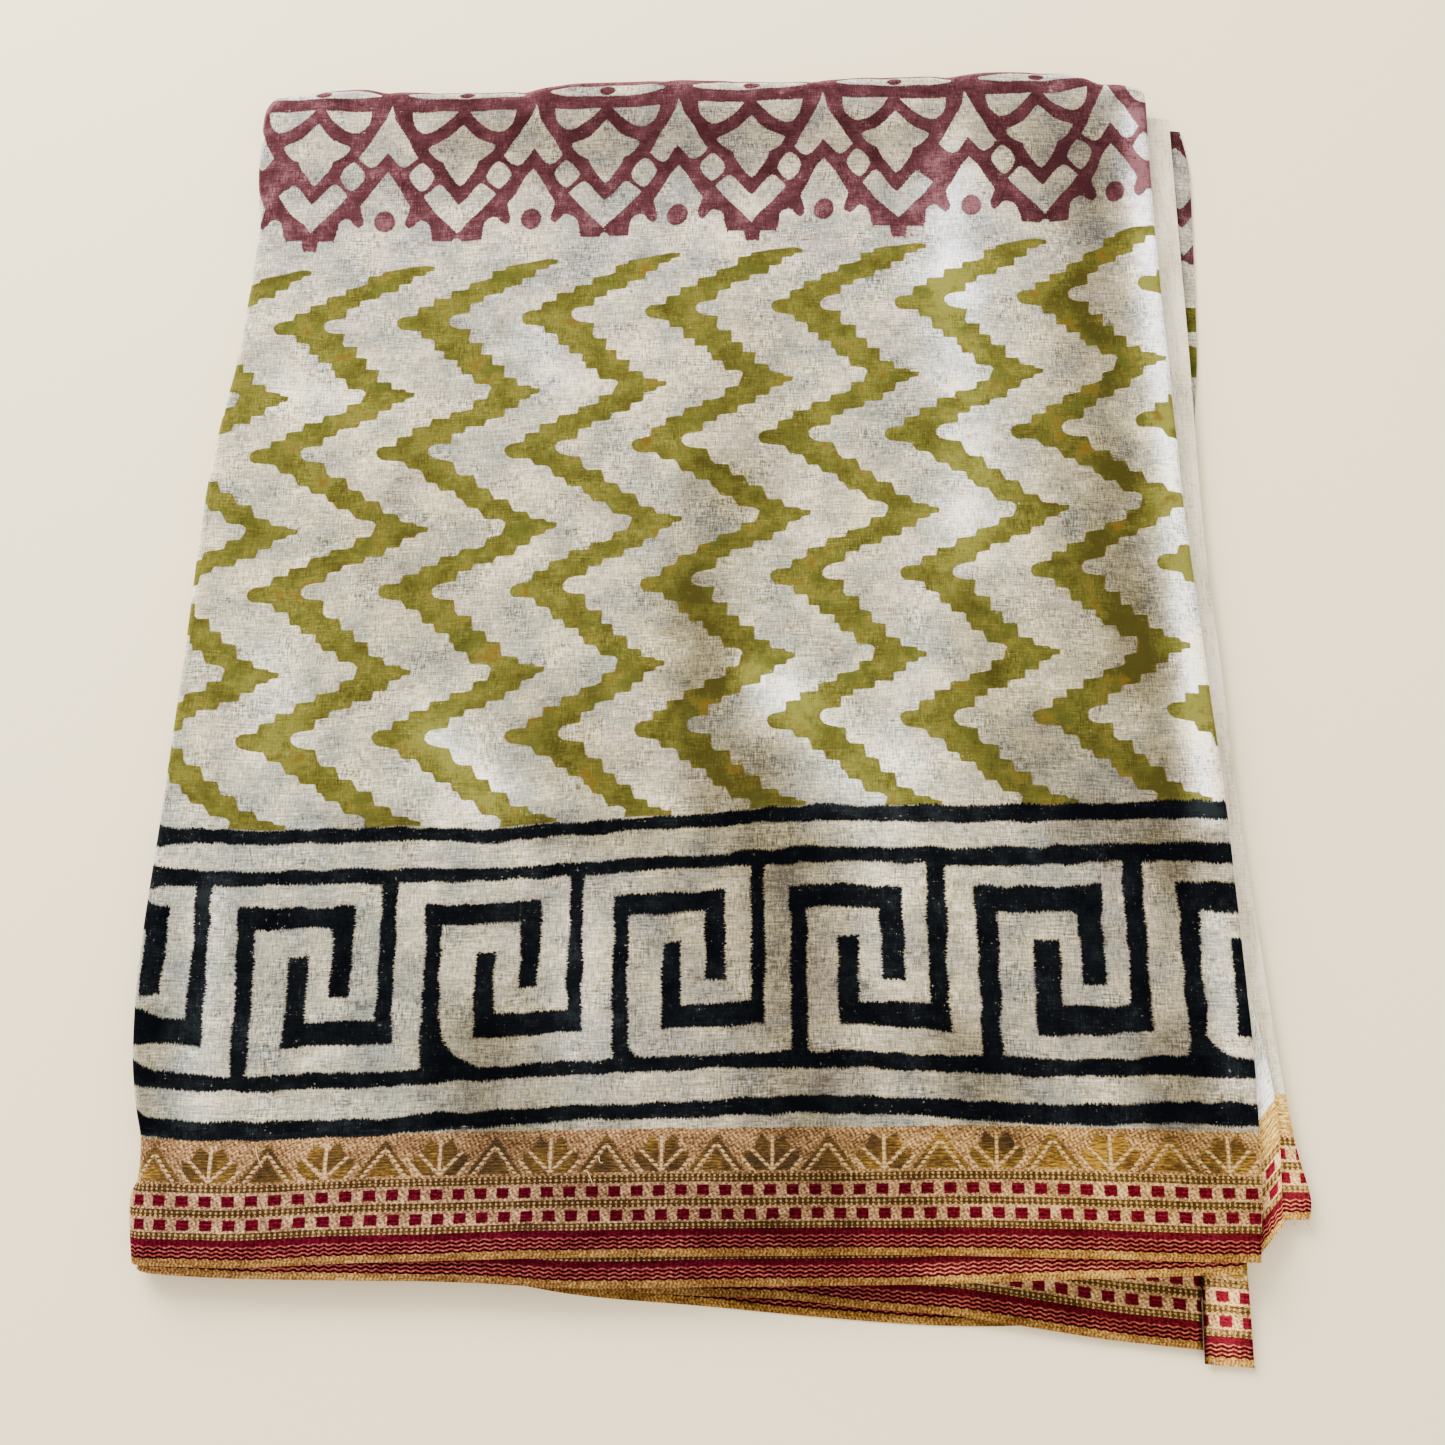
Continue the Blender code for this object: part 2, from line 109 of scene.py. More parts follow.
# Hidden layers, set back from the folds of the top panel
LAYERS = 7
GROOVE = 0.0011
CLEAR = 0.0003
FLAP_CLEAR = 0.0005
NEAR_INSET = 0.0130
RIGHT_INSET = 0.0150
FAR_INSET = 0.0085
FAR_INSET_MIDDLE = 0.0035
MIDDLE_LEVELS = (0.27, 0.40)
LEFT_CLEAR = 0.0024
LEFT_ROUNDNESS = 0.97
CORE_CLEAR = 0.0012
CORE_CORNER_SHARE = 0.025
CORE_SIDE_STEPS = 110
CORE_EDGE_STEPS = 6
CAP_RINGS = (0.01, 0.03, 0.08, 0.18, 0.30, 0.42)
MERGE_REACH = 0.00001
FLAP_BACK = NEAR_INSET - FLAP_CLEAR
FLAP_INNER = RIGHT_INSET - FLAP_CLEAR
LAYER_PRINT_STEP = 0.137
LAYER_SHADE = (0.85, 0.85, 0.816, 1.0)

# The sides of the top panel: (y, left, right)
SIDES = (
    (-0.277, -0.2440, 0.2279),
    (-0.262, -0.2461, 0.2294),
    (-0.248, -0.2470, 0.2305),
    (-0.242, -0.2446, 0.2309),
    (-0.225, -0.2450, 0.2320),
    (-0.212, -0.2482, 0.2323),
    (-0.190, -0.2519, 0.2325),
    (-0.150, -0.2533, 0.2317),
    (-0.076, -0.2496, 0.2295),
    (0.000, -0.2463, 0.2257),
    (0.073, -0.2438, 0.2222),
    (0.116, -0.2395, 0.2212),
    (0.150, -0.2343, 0.2204),
    (0.221, -0.2301, 0.2197),
    (0.262, -0.2328, 0.2202),
    (0.300, -0.2323, 0.2207),
)

# The puckered far fold: (x, y)
FAR_EDGE = (
    (-0.2383, 0.3010),
    (-0.2083, 0.3035),
    (-0.1813, 0.3060),
    (-0.1663, 0.3044),
    (-0.0983, 0.3044),
    (-0.0763, 0.3092),
    (-0.0483, 0.3107),
    (0.0037, 0.3115),
    (0.0437, 0.3105),
    (0.0767, 0.3130),
    (0.1217, 0.3142),
    (0.1397, 0.3162),
    (0.1867, 0.3154),
    (0.1997, 0.3112),
    (0.2267, 0.3090),
)

# The near edges of the layers: (x, y)
NEAR_EDGE = (
    (-0.2533, -0.2728),
    (-0.2452, -0.2754),
    (-0.2415, -0.2768),
    (-0.2320, -0.2774),
    (-0.2012, -0.2783),
    (-0.1604, -0.2767),
    (-0.1195, -0.2755),
    (-0.0800, -0.2745),
    (-0.0389, -0.2738),
    (0.0304, -0.2734),
    (0.0800, -0.2731),
    (0.1315, -0.2739),
    (0.1730, -0.2749),
    (0.2062, -0.2759),
    (0.2317, -0.2762),
)
SECOND_EDGE = (
    (-0.2533, -0.2742),
    (-0.2446, -0.2756),
    (-0.2427, -0.2778),
    (-0.2398, -0.2795),
    (-0.2329, -0.2805),
    (-0.2019, -0.2822),
    (-0.1608, -0.2830),
    (-0.1197, -0.2834),
    (-0.0944, -0.2843),
    (-0.0668, -0.2859),
    (-0.0389, -0.2862),
    (0.0027, -0.2856),
    (0.0580, -0.2850),
    (0.0996, -0.2843),
    (0.1400, -0.2829),
    (0.1734, -0.2820),
    (0.2267, -0.2803),
)
THIRD_EDGE = (
    (-0.0783, -0.2842),
    (-0.0400, -0.2874),
    (-0.0053, -0.2892),
    (0.0307, -0.2905),
    (0.0580, -0.2936),
    (0.0940, -0.2964),
    (0.1110, -0.2984),
    (0.1280, -0.3009),
    (0.1610, -0.3060),
    (0.1807, -0.3083),
    (0.2057, -0.3109),
)
UNDER_EDGE = (
    (-0.2383, -0.2740),
    (-0.1183, -0.2790),
    (-0.0593, -0.2886),
    (-0.0053, -0.2932),
    (0.0507, -0.2982),
    (0.0997, -0.3012),
    (0.1417, -0.3000),
    (0.2317, -0.2850),
)

# The right edges of the layers below: (y, x)
SECOND_FOLD_EDGE = (
    (-0.270, 0.2402),
    (-0.226, 0.2419),
    (-0.190, 0.2387),
    (-0.150, 0.2317),
    (-0.076, 0.2287),
    (0.073, 0.2212),
    (0.282, 0.2192),
)
END_STRIP_EDGE = (
    (-0.259, 0.2532),
    (-0.250, 0.2546),
    (-0.228, 0.2504),
    (-0.194, 0.2467),
    (-0.146, 0.2433),
    (-0.076, 0.2388),
    (-0.008, 0.2367),
    (0.060, 0.2342),
    (0.156, 0.2350),
    (0.227, 0.2351),
    (0.294, 0.2353),
)
LOWER_LAYER_EDGE = (
    (-0.200, 0.2317),
    (0.060, 0.2327),
    (0.121, 0.2362),
    (0.158, 0.2402),
    (0.247, 0.2445),
    (0.268, 0.2447),
    (0.290, 0.2417),
)
UNDER_RIGHT = (
    (-0.290, 0.2257),
    (0.000, 0.2217),
    (0.300, 0.2177),
)

# Ridges and troughs of the top layer, the broad ones first:
# (x from, y from, x to, y to, rise, half width)
CREASES = (
    (0.1977, 0.270, 0.1997, -0.010, -0.0012, 0.011),
    (0.2127, 0.250, 0.2157, -0.060, 0.0006, 0.010),
    (-0.2133, -0.180, -0.1943, 0.240, 0.0009, 0.020),
    (-0.0883, 0.285, -0.0683, 0.120, 0.0007, 0.018),
    (0.0617, 0.280, 0.0517, 0.100, -0.0006, 0.020),
    (-0.1483, -0.120, 0.1217, -0.085, 0.0006, 0.026),
    (0.0417, -0.262, 0.1517, -0.225, -0.0006, 0.020),
    (0.2000, 0.260, 0.2060, -0.080, -0.0009, 0.0040),
    (0.2075, 0.255, 0.2130, -0.080, 0.0006, 0.0050),
    (0.0020, 0.120, 0.0100, -0.265, -0.0012, 0.0170),
    (0.1200, 0.270, 0.1000, 0.020, 0.0011, 0.0180),
    (-0.0600, -0.090, 0.0200, -0.050, -0.0005, 0.0070),
    (0.0300, -0.150, 0.1300, -0.185, 0.0005, 0.0090),
    (0.1350, -0.190, 0.2200, -0.205, -0.0006, 0.0080),
    (-0.2200, -0.245, -0.1000, -0.225, 0.0004, 0.0070),
    (0.0600, -0.235, 0.1300, -0.205, -0.0005, 0.0060),
    (0.1700, 0.190, 0.1950, 0.120, 0.0005, 0.0060),
    (-0.1900, 0.200, -0.1500, 0.120, -0.0005, 0.0080),
    (-0.0900, 0.050, -0.0300, 0.010, 0.0005, 0.0090),
)
# Puckers of the far fold: (x, depth, half width)
PUCKERS = (
    (-0.170, 0.0011, 0.0045),
    (-0.144, 0.0007, 0.0040),
    (-0.099, 0.0013, 0.0045),
    (-0.080, 0.0006, 0.0050),
    (-0.026, 0.0010, 0.0045),
    (0.010, 0.0006, 0.0040),
    (0.051, 0.0011, 0.0045),
    (0.086, 0.0006, 0.0050),
    (0.120, 0.0012, 0.0050),
    (0.168, 0.0009, 0.0060),
    (0.200, 0.0012, 0.0045),
)
PUCKER_REACH = 0.034

# Fine wrinkles: (wavelength, rise, direction in degrees, phase)
RIPPLES = (
    (0.083, 0.00050, 5, 0.9),
    (0.061, 0.00034, 17, 0.3),
    (0.047, 0.00022, 103, 1.9),
    (0.034, 0.00016, 64, 4.1),
    (0.029, 0.00013, 151, 2.6),
    (0.023, 0.00009, 85, 0.8),
    (0.019, 0.00008, 7, 5.2),
    (0.015, 0.00005, 38, 3.3),
    (0.013, 0.00005, 122, 1.2),
)
# How much each swells and sinks along its crests, and over how many of its wavelengths
RIPPLE_SWELL = 0.5
RIPPLE_SWELL_LENGTH = 2.7
# How fast they fade out round the left roll, and a crease towards its ends
ROLL_FADE = 3
CREASE_FADE = 4

# The places of the pieces that fan out
THIRD_LEFT = -0.0763
THIRD_RIGHT = 0.2047
TAIL_LEFT = 0.2053
TAIL_TIP_LEFT = 0.2049
TAIL_WIDTH = 0.0185
TAIL_TIP_WIDTH = 0.0206
TAIL_END = -0.3162
TAIL_END_RISE = -0.0017
END_BORDER_TOP = -0.2050
END_BORDER_END = -0.2585
END_STRIP_FAR = 0.2930
SECOND_FOLD_NEAR = -0.2740
SECOND_FOLD_FAR = 0.2820
SECOND_FOLD_CURL = 0.0016
SECOND_FOLD_CURL_END = math.radians(-25)
SECOND_FOLD_SLANT = 1.1
SECOND_FOLD_SLANT_FADE = 6
LOWER_LAYER_NEAR = -0.180
LOWER_LAYER_FAR = 0.2890
LOWER_LAYER_PRINT = 0.117

# How far the prints climb over the straight grain, in mm:
# (x, at the lowest black line, at the hooks, at the highest black line, at the lattice)
PRINT_CLIMB = (
    (-250, 0.9, 1.3, 1.8, 1.5),
    (-238, -1.3, 0.6, 2.1, 2.1),
    (-222, -2.2, -0.2, 2.0, 2.3),
    (-200, -2.0, -0.8, 1.8, 2.5),
    (-150, -2.6, -1.5, 0.9, 0.3),
    (-100, -0.5, -1.1, -0.5, -0.5),
    (-50, 1.1, 0.7, 1.8, -0.3),
    (0, 2.8, 2.3, 5.0, 1.9),
    (50, 3.8, 3.0, 7.8, 3.7),
    (100, 1.7, 0.9, 7.3, 4.6),
    (150, 0.4, 1.5, 9.2, 7.9),
    (175, 1.5, 2.2, 10.3, 10.3),
    (202, 2.7, 3.2, 12.3, 17.8),
    (230, 2.0, 3.1, 12.0, 18.1),
)
CLIMB_LEVELS = (58, 120, 183, 500)

# Prints, in mm along the cloth and up from the selvedge
MIDDLE_FOLD = 500 * CLOTH_WIDTH
# How far the blocks' edges jag across and up, and how far the print drifts
JAG_ACROSS = 3.4
JAG_UP = 3.0
DRIFT = 2.6
# Half the width over which an inked edge fades
INK_EDGE = 0.35
WEAVE_REPEAT = 0.87
# How warm the cotton is by its height on the cloth: (up in mm, share)
FIELD_WARMTH = (
    (0, 0.55), (60, 0.35), (150, 0.5), (200, 0.75), (330, 0.85), (430, 0.5), (500, 0.1), (577, 0.0),
)
# Where the cotton begins to be greyer and is whole, across and up
GREYER_ACROSS = (-20.0, -150.0)
GREYER_UP = (220.0, 180.0)
# The four black lines: (middle, half width)
BLACK_LINES = ((58.0, 3.2), (77.5, 3.0), (164.2, 2.8), (182.4, 3.0))
OUTSIDE = -10.0
MEANDER_REPEAT = 82.0
MEANDER_START = -62.0
# The bars of one hook: (from, to, near end, far end)
MEANDER_BARS = (
    (-3.2, 3.2, 93.0, 165.5),
    (-43.0, 3.2, 92.8, 102.6),
    (-43.0, -34.8, 93.0, 130.0),
    (17.0, 23.5, 77.5, 151.0),
    (16.6, 66.6, 142.6, 151.0),
    (58.0, 66.6, 113.5, 151.0),
)
# How far the hooks stray sideways, and how much wider their ink spreads: (across, mm)
MEANDER_STRAY = (
    (-250, 0), (-190, 1.0), (-125, 0.3), (-62, 1.0), (-20, 0), (15, -0.5), (34, -3.6), (60, -5),
    (100, -4.5), (120, -3), (143, 0), (168, 1.2), (186, 0.3), (204, 4.5), (240, 5),
)
BLACK_SPREAD = (
    (-250, 2.2), (-240, 0.6), (-60, 0.15), (20, 0.35), (40, 0.9), (70, 0.6), (100, 1.0), (200, 1.1),
    (240, 1.6),
)
# Where ink has run into a corner: (corner across, corner up, reach)
BLOTS = ((-119.8, 80.6, 21.0), (211.0, 81.0, 15.0), (-37.5, 80.6, 6.0))
BLOT_OVERLAP = 4.0
# How softly the hooks and the lines run together, and how unevenly they are inked
HOOK_ROUNDING = 1.6
LINE_ROUNDING = 1.2
BLACK_UNEVEN = 3.2

ZIGZAG_REPEAT = 61.0
ZIGZAG_LEFT_TIP = -157.0
ZIGZAG_ROW_REPEAT = 72.5
ZIGZAG_ROW_START = 263.5
ZIGZAG_NEAR_END = 186.0
ZIGZAG_FAR_END = 479.5
# The stepped outline of one zigzag: (height in the repeat, place across)
ZIGZAG_LEFT = (
    (0.0, -103.5), (0.6, -105.5), (1.0, -111.0), (6.8, -113.8), (7.3, -119.0), (11.3, -120.6),
    (11.7, -122.6), (15.8, -123.2), (16.3, -129.8), (20.6, -131.0), (21.0, -135.8), (25.6, -137.0),
    (27.0, -138.0), (27.5, -143.6), (31.6, -145.4), (32.4, -150.5), (33.0, -154.8), (34.5, -156.4),
    (37.0, -157.2), (39.0, -156.2), (40.3, -153.5), (40.8, -147.6), (45.2, -146.6), (45.7, -140.0),
    (49.9, -139.4), (50.4, -131.4), (54.6, -130.2), (55.1, -121.8), (58.6, -120.8), (59.2, -114.0),
    (60.2, -110.6), (64.4, -110.0), (64.9, -103.8), (68.0, -102.6), (71.0, -101.8), (72.5, -103.5),
)
ZIGZAG_RIGHT = (
    (0.0, -89.4), (3.6, -90.6), (4.1, -97.2), (10.8, -98.4), (11.3, -104.8), (16.8, -106.4),
    (17.3, -111.8), (23.8, -112.8), (24.3, -119.2), (26.2, -120.8), (32.2, -121.2), (32.8, -126.5),
    (34.0, -130.5), (36.0, -132.2), (38.4, -132.2), (40.4, -130.5), (41.2, -127.5), (41.7, -121.6),
    (46.8, -120.8), (47.3, -115.0), (50.4, -114.2), (50.9, -105.2), (54.5, -104.0), (55.0, -95.8),
    (59.2, -95.0), (59.7, -89.2), (64.0, -88.0), (64.6, -82.6), (66.6, -81.6), (67.2, -77.6),
    (69.6, -77.2), (70.2, -81.8), (71.6, -82.6), (72.1, -88.4), (72.5, -89.4),
)
# How far the zigzags stray sideways at each height: (up, mm)
ZIGZAG_STRAY = (
    (186, -4), (226, -2.5), (244, -5.5), (260, -8), (280, -5), (298, -1.5), (333, 0), (352, -3),
    (371, -6.5), (404, -8.5), (424, -4), (442, 0), (482, -2.5),
)
# What their left half strays besides, and where across the cloth that half begins and is whole
ZIGZAG_LEFT_STRAY = (
    (186, 11), (208, 7), (226, 3), (244, 5), (260, 6.5), (280, 4), (298, 0.5), (333, 1.5), (371, 0.5),
    (404, 0), (482, 0),
)
ZIGZAG_LEFT_HALF = (-10.0, -80.0)
# How far they sink at their far ends: (across, mm)
ZIGZAG_SINK = ((-250, 8.6), (-213, 7.6), (-150, 3.2), (-100, 2.0), (-40, 0.8), (30, 0), (240, -1.5))
# How their far ends are cut: how short, where a slant crosses the middle, and its slope
ZIGZAG_END_SHORT = 3.0
ZIGZAG_END_START = -96.0
ZIGZAG_END_SLOPE = 0.16

LATTICE_REPEAT = 73.7
LATTICE_START = -56.8
LATTICE_DOTS = 500.0
LATTICE_DOT = (4.6, 0.84)
# Places in the lattice that ink has filled: (across, up, radius)
LATTICE_BLOTS = ((110.1, 526.3, 8.6), (-223.7, 526.3, 8.6))
LATTICE_SPREAD = 0.55
FOLD_DOT = (2.4, 0.5)
LATTICE_LENS_TOP = 66.2
LATTICE_DIAMOND = (19.5, 26.3, 6.3, 8.8)
DIAMOND_POWER = 1.45
# Where the lattice's lower edge has an extra lobe: (middle, half width)
LOBED_CELLS = ((-203.5, 36.5), (54.5, 72.5))
# Outlines in the lattice: (across from the middle of a V, up from the dots)
LATTICE_EDGE = (
    (0, -8.3), (1.5, -8.8), (2.5, -10.3), (12.3, -10.3), (12.8, -5.0), (13.6, -1.3), (15.5, 1.0),
    (18.5, 2.2), (20.5, 1.4), (22, -0.9), (24.5, -2.8), (26.3, -1.5), (27, 0), (37, 0),
)
LATTICE_LOBE = ((0, 8.6), (3.5, 6.2), (4.5, 0), (11.8, 0), (13.5, 6.2), (14.5, 0), (37, 0))
HEART_LOW = ((0, -6.5), (4, -1.7), (10, 4.3), (14, 9), (17, 12.8), (18.3, 15), (18.8, 40), (37, 40))
HEART_HIGH = (
    (0, 10.5), (2, 12.5), (5, 16.5), (8.3, 20.8), (10.5, 22.4), (12.5, 21.8), (15, 19), (17, 16.8),
    (18.3, 15), (18.8, -20), (37, -20),
)
STAR_LOW = (
    (0, 20.3), (2, 21.8), (4, 25), (6.5, 28.6), (8.2, 31.8), (9, 35), (12, 36.5), (15, 39.2),
    (16.8, 41.8), (17.4, 44.5), (17.8, 70), (37, 70),
)
STAR_HIGH = (
    (0, 58.5), (2, 56.5), (4, 53.8), (8, 49.6), (12, 47.4), (15.5, 46), (17.4, 44.5), (17.8, 10),
    (37, 10),
)
LENS_LOW = (
    (0, 90), (2.6, 90), (3, 65), (6, 60.8), (9, 57.8), (14.5, 53.6), (18, 52.2), (20.5, 52.2),
    (23, 54), (25.2, 57), (26.2, 61), (26.8, 67), (27.2, 90), (37, 90),
)
CHEVRON_LOW = (
    (0, 90), (21.6, 90), (22.1, 37), (24, 34.3), (26, 32.2), (28.5, 31), (31, 32), (34, 36.1),
    (37, 40.5),
)
CHEVRON_HIGH = (
    (0, 0), (21.6, 0), (22.1, 38.5), (25.3, 43.9), (29.5, 52), (32.5, 57.5), (34.6, 62.0), (36, 67),
    (37, 70),
)
ARCH_HIGH = (
    (0, -60), (24.3, -60), (24.6, 8.5), (25, 10.5), (26.5, 13), (28, 15.5), (30.7, 20.5), (33, 24.5),
    (35.5, 27.8), (37, 29.5),
)
ARCH_LOW = ((0, 8.5), (24.5, 8.5), (25.5, 4.5), (26.8, 0.5), (27.2, -60), (37, -60))
FOLD_GAP = ((0, 73.0), (16, 73.3), (24, 74), (29, 75.4), (31, 78), (37, 78))

# The woven border, in mm up from the selvedge
SQUARE_REPEAT = 9.72
SQUARE_START = 0.9
SQUARE_HALF = (2.65, 2.2)
# The two rows of squares: (middle, shift sideways)
SQUARE_ROWS = ((17.0, 0.9), (26.8, 0.0))
MOTIF_REPEAT = 5 * SQUARE_REPEAT
MOTIF_START = -139.0
# How far the squares and motifs stray sideways: (across, mm)
MOTIF_STRAY = (
    (-250, -0.7), (-188, -1.4), (-139, 0), (-90, -2.6), (-42, -4.1), (7, -6.2), (56, -7.6), (105, -8.7),
    (155, -9.6), (204, -8.3), (240, -8.0),
)
MOTIF_BASE = 34.8
# The steps that the gold threads make, across and up
MOTIF_THREAD = (0.95, 0.62)
# Triangles, each (half width, height): the gold one, the gap in it and the gold one in the gap
TRIANGLE_OUTER = (12.3, 15.3)
TRIANGLE_GAP = (9.0, 12.2)
TRIANGLE_INNER = (7.3, 9.8)
# The sides of the leaves: (slope, rise at the fan's middle)
LEAF_BELOW = (0.94, 1.5)
LEAF_ABOVE = ((0.79, 11.05), (-1.9, 24.5))
LOW_LEAF_BELOW = (1.15, -8.3)
LOW_LEAF_ABOVE = (0.97, -1.2)
LEAF_HALF_GAP = 1.1
LOW_LEAF_END = 11.8
LOW_LEAF_TOP = 8.2
MOTIF_TOP = 15.2
# Rows of light stitches, two beside the leaves and one beside the triangles:
# (slope, rise at the motif's middle, top), then where they all end and their repeat
STITCH_ROWS = ((0.955, 0.15, 8.2), (1.15, -9.7, 5.0), (-1.247, 11.6, 10.6))
STITCH_END = (14.6, 13.8)
STITCH_REPEAT = 1.95
# Repeats of the threads, and the twill's slant
TWILL_REPEAT = 2.5
TWILL_SLANT = 0.9
ROW_REPEAT = 1.55
BEAD_REPEAT = 2.3
RIB_REPEAT = 1.6
STRIPE_REPEAT = 2.0
# The stripes: repeat, rise and drift of their waves, and where they begin and end
STRIPE_WAVE = (4.5, 0.33, 9.0)
STRIPES = ((2.5, 3.5), (9.5, 8.0))
# How far the bands drift and jag, and how far the motifs and the squares jag
BAND_DRIFT = 1.6
BAND_JAG = 0.7
MOTIF_JAG = 0.6
SQUARE_JAG = 0.8
BORDER_END = 52.6
# Where across the cloth the border begins to be lighter and yellower, and where that is whole
LIT_FROM_TO = (-40.0, 200.0)
LIT = 0.05
SUNNY_FROM_TO = (-60.0, 190.0)
# The border is drawn taller towards the right: where that begins and is whole, how much the places
# on it shrink for that, and how far its end rises
TALLER_FROM_TO = (50.0, 150.0)
BORDER_STRETCH = 0.96
BORDER_END_RISE = 1.1

# Painted shade and painted light over the top layers: darker where the layers below end or double,
# in hollows and on flanks turned from the light, lighter on ridges and edges that catch it:
# (x from, y from, x to, y to, tone, half width)
TOP_PAINTED_SHADING = (
    (0.190, 0.285, 0.187, 0.128, -0.46, 0.017),
    (0.187, 0.096, 0.189, -0.014, -0.58, 0.019),
    (0.182, 0.178, 0.182, 0.160, -0.22, 0.012),
    (0.180, 0.055, 0.182, 0.045, -0.12, 0.012),
    (0.197, 0.022, 0.198, -0.020, -0.34, 0.012),
    (0.200, -0.020, 0.203, -0.112, -0.30, 0.010),
    (0.165, 0.180, 0.160, -0.030, -0.14, 0.012),
    (0.2135, 0.285, 0.2205, -0.080, 0.90, 0.0078),
    (0.2200, -0.130, 0.2230, -0.200, 0.42, 0.0075),
    (0.150, -0.050, 0.200, -0.062, -0.34, 0.017),
    (0.165, -0.085, 0.205, -0.100, -0.56, 0.016),
    (0.140, -0.068, 0.142, -0.074, -0.20, 0.010),
    (0.205, -0.115, 0.200, -0.138, -0.22, 0.010),
    (0.120, 0.005, 0.135, -0.050, -0.26, 0.022),
    (0.105, -0.188, 0.120, -0.218, -0.48, 0.017),
    (0.196, -0.185, 0.200, -0.225, -0.52, 0.018),
    (0.020, 0.160, 0.012, 0.088, -0.17, 0.020),
    (0.006, 0.075, -0.002, 0.048, -0.36, 0.017),
    (-0.012, 0.018, -0.009, -0.012, -0.54, 0.018),
    (-0.006, -0.040, 0.002, -0.056, -0.46, 0.018),
    (0.001, 0.004, 0.002, -0.022, -0.30, 0.011),
    (-0.004, -0.066, -0.002, -0.080, -0.26, 0.011),
    (0.022, -0.062, 0.018, -0.076, -0.50, 0.014),
    (0.004, -0.094, 0.030, -0.100, -0.36, 0.018),
    (0.030, -0.112, 0.036, -0.225, -0.46, 0.026),
    (-0.018, -0.112, -0.014, -0.136, -0.20, 0.012),
    (-0.098, -0.185, -0.094, -0.222, -0.58, 0.022),
    (-0.165, -0.090, -0.138, -0.092, -0.26, 0.010),
    (-0.085, -0.092, -0.030, -0.095, -0.34, 0.010),
    (-0.075, -0.040, -0.055, -0.062, -0.28, 0.018),
    (-0.245, -0.180, -0.245, -0.225, -0.40, 0.012),
    (-0.160, 0.055, -0.140, 0.020, -0.10, 0.030),
    (0.118, 0.262, 0.116, 0.190, 0.60, 0.016),
    (0.115, 0.190, 0.122, 0.060, 0.50, 0.016),
    (0.112, 0.060, 0.085, -0.060, 0.24, 0.016),
    (0.080, -0.060, 0.072, -0.150, 0.24, 0.014),
    (0.020, -0.018, 0.038, -0.032, 0.80, 0.012),
    (-0.130, -0.045, -0.098, -0.078, 0.50, 0.013),
    (-0.205, -0.010, -0.200, -0.050, 0.30, 0.014),
    (0.055, -0.050, 0.062, -0.074, 0.32, 0.012),
    (-0.222, -0.120, -0.222, -0.220, 0.30, 0.010),
    (-0.060, -0.140, -0.058, -0.185, 0.28, 0.014),
    (-0.205, 0.128, -0.180, 0.120, 0.28, 0.014),
    (-0.090, 0.155, -0.075, 0.135, 0.28, 0.014),
    (-0.130, 0.274, -0.060, 0.274, -0.36, 0.024),
    (-0.020, 0.277, 0.140, 0.274, -0.36, 0.022),
    (0.160, 0.285, 0.175, 0.240, -0.30, 0.020),
    (-0.200, 0.262, 0.220, 0.262, -0.15, 0.028),
    (-0.230, -0.150, 0.220, -0.150, -0.22, 0.045),
    (-0.230, -0.205, 0.220, -0.205, -0.12, 0.020),
    (-0.230, -0.245, -0.040, -0.250, -0.14, 0.024),
    (-0.055, -0.250, 0.085, -0.250, -0.32, 0.022),
    (0.000, -0.262, 0.050, -0.268, -0.25, 0.010),
    (0.120, -0.272, 0.225, -0.274, 0.10, 0.006),
)
# Painted shade and painted light over the edges that fan out below: darker where they lie in the
# shade of the layers above, lighter where they face the light, and a thin line of painted shadow in
# the crevice beside the tail strip
LOWER_PAINTED_SHADING = (
    (-0.250, -0.283, -0.150, -0.285, 0.22, 0.020),
    (-0.110, -0.285, 0.060, -0.286, -0.14, 0.020),
    (0.060, -0.292, 0.090, -0.294, -0.05, 0.016),
    (0.090, -0.279, 0.210, -0.279, 0.50, 0.006),
    (0.120, -0.293, 0.195, -0.295, -0.34, 0.010),
    (0.195, -0.284, 0.202, -0.284, -0.25, 0.006),
    (0.216, -0.288, 0.214, -0.316, 0.85, 0.009),
    (0.238, -0.200, 0.238, -0.272, 0.70, 0.008),
    (0.250, -0.212, 0.251, -0.260, 0.45, 0.010),
    (0.2052, -0.282, 0.2050, -0.318, -1.60, 0.0011),
)
# Painted shade over the border of the under panel
UNDER_PAINTED_SHADING = ((-0.240, -0.290, 0.240, -0.290, -0.05, 0.020),)

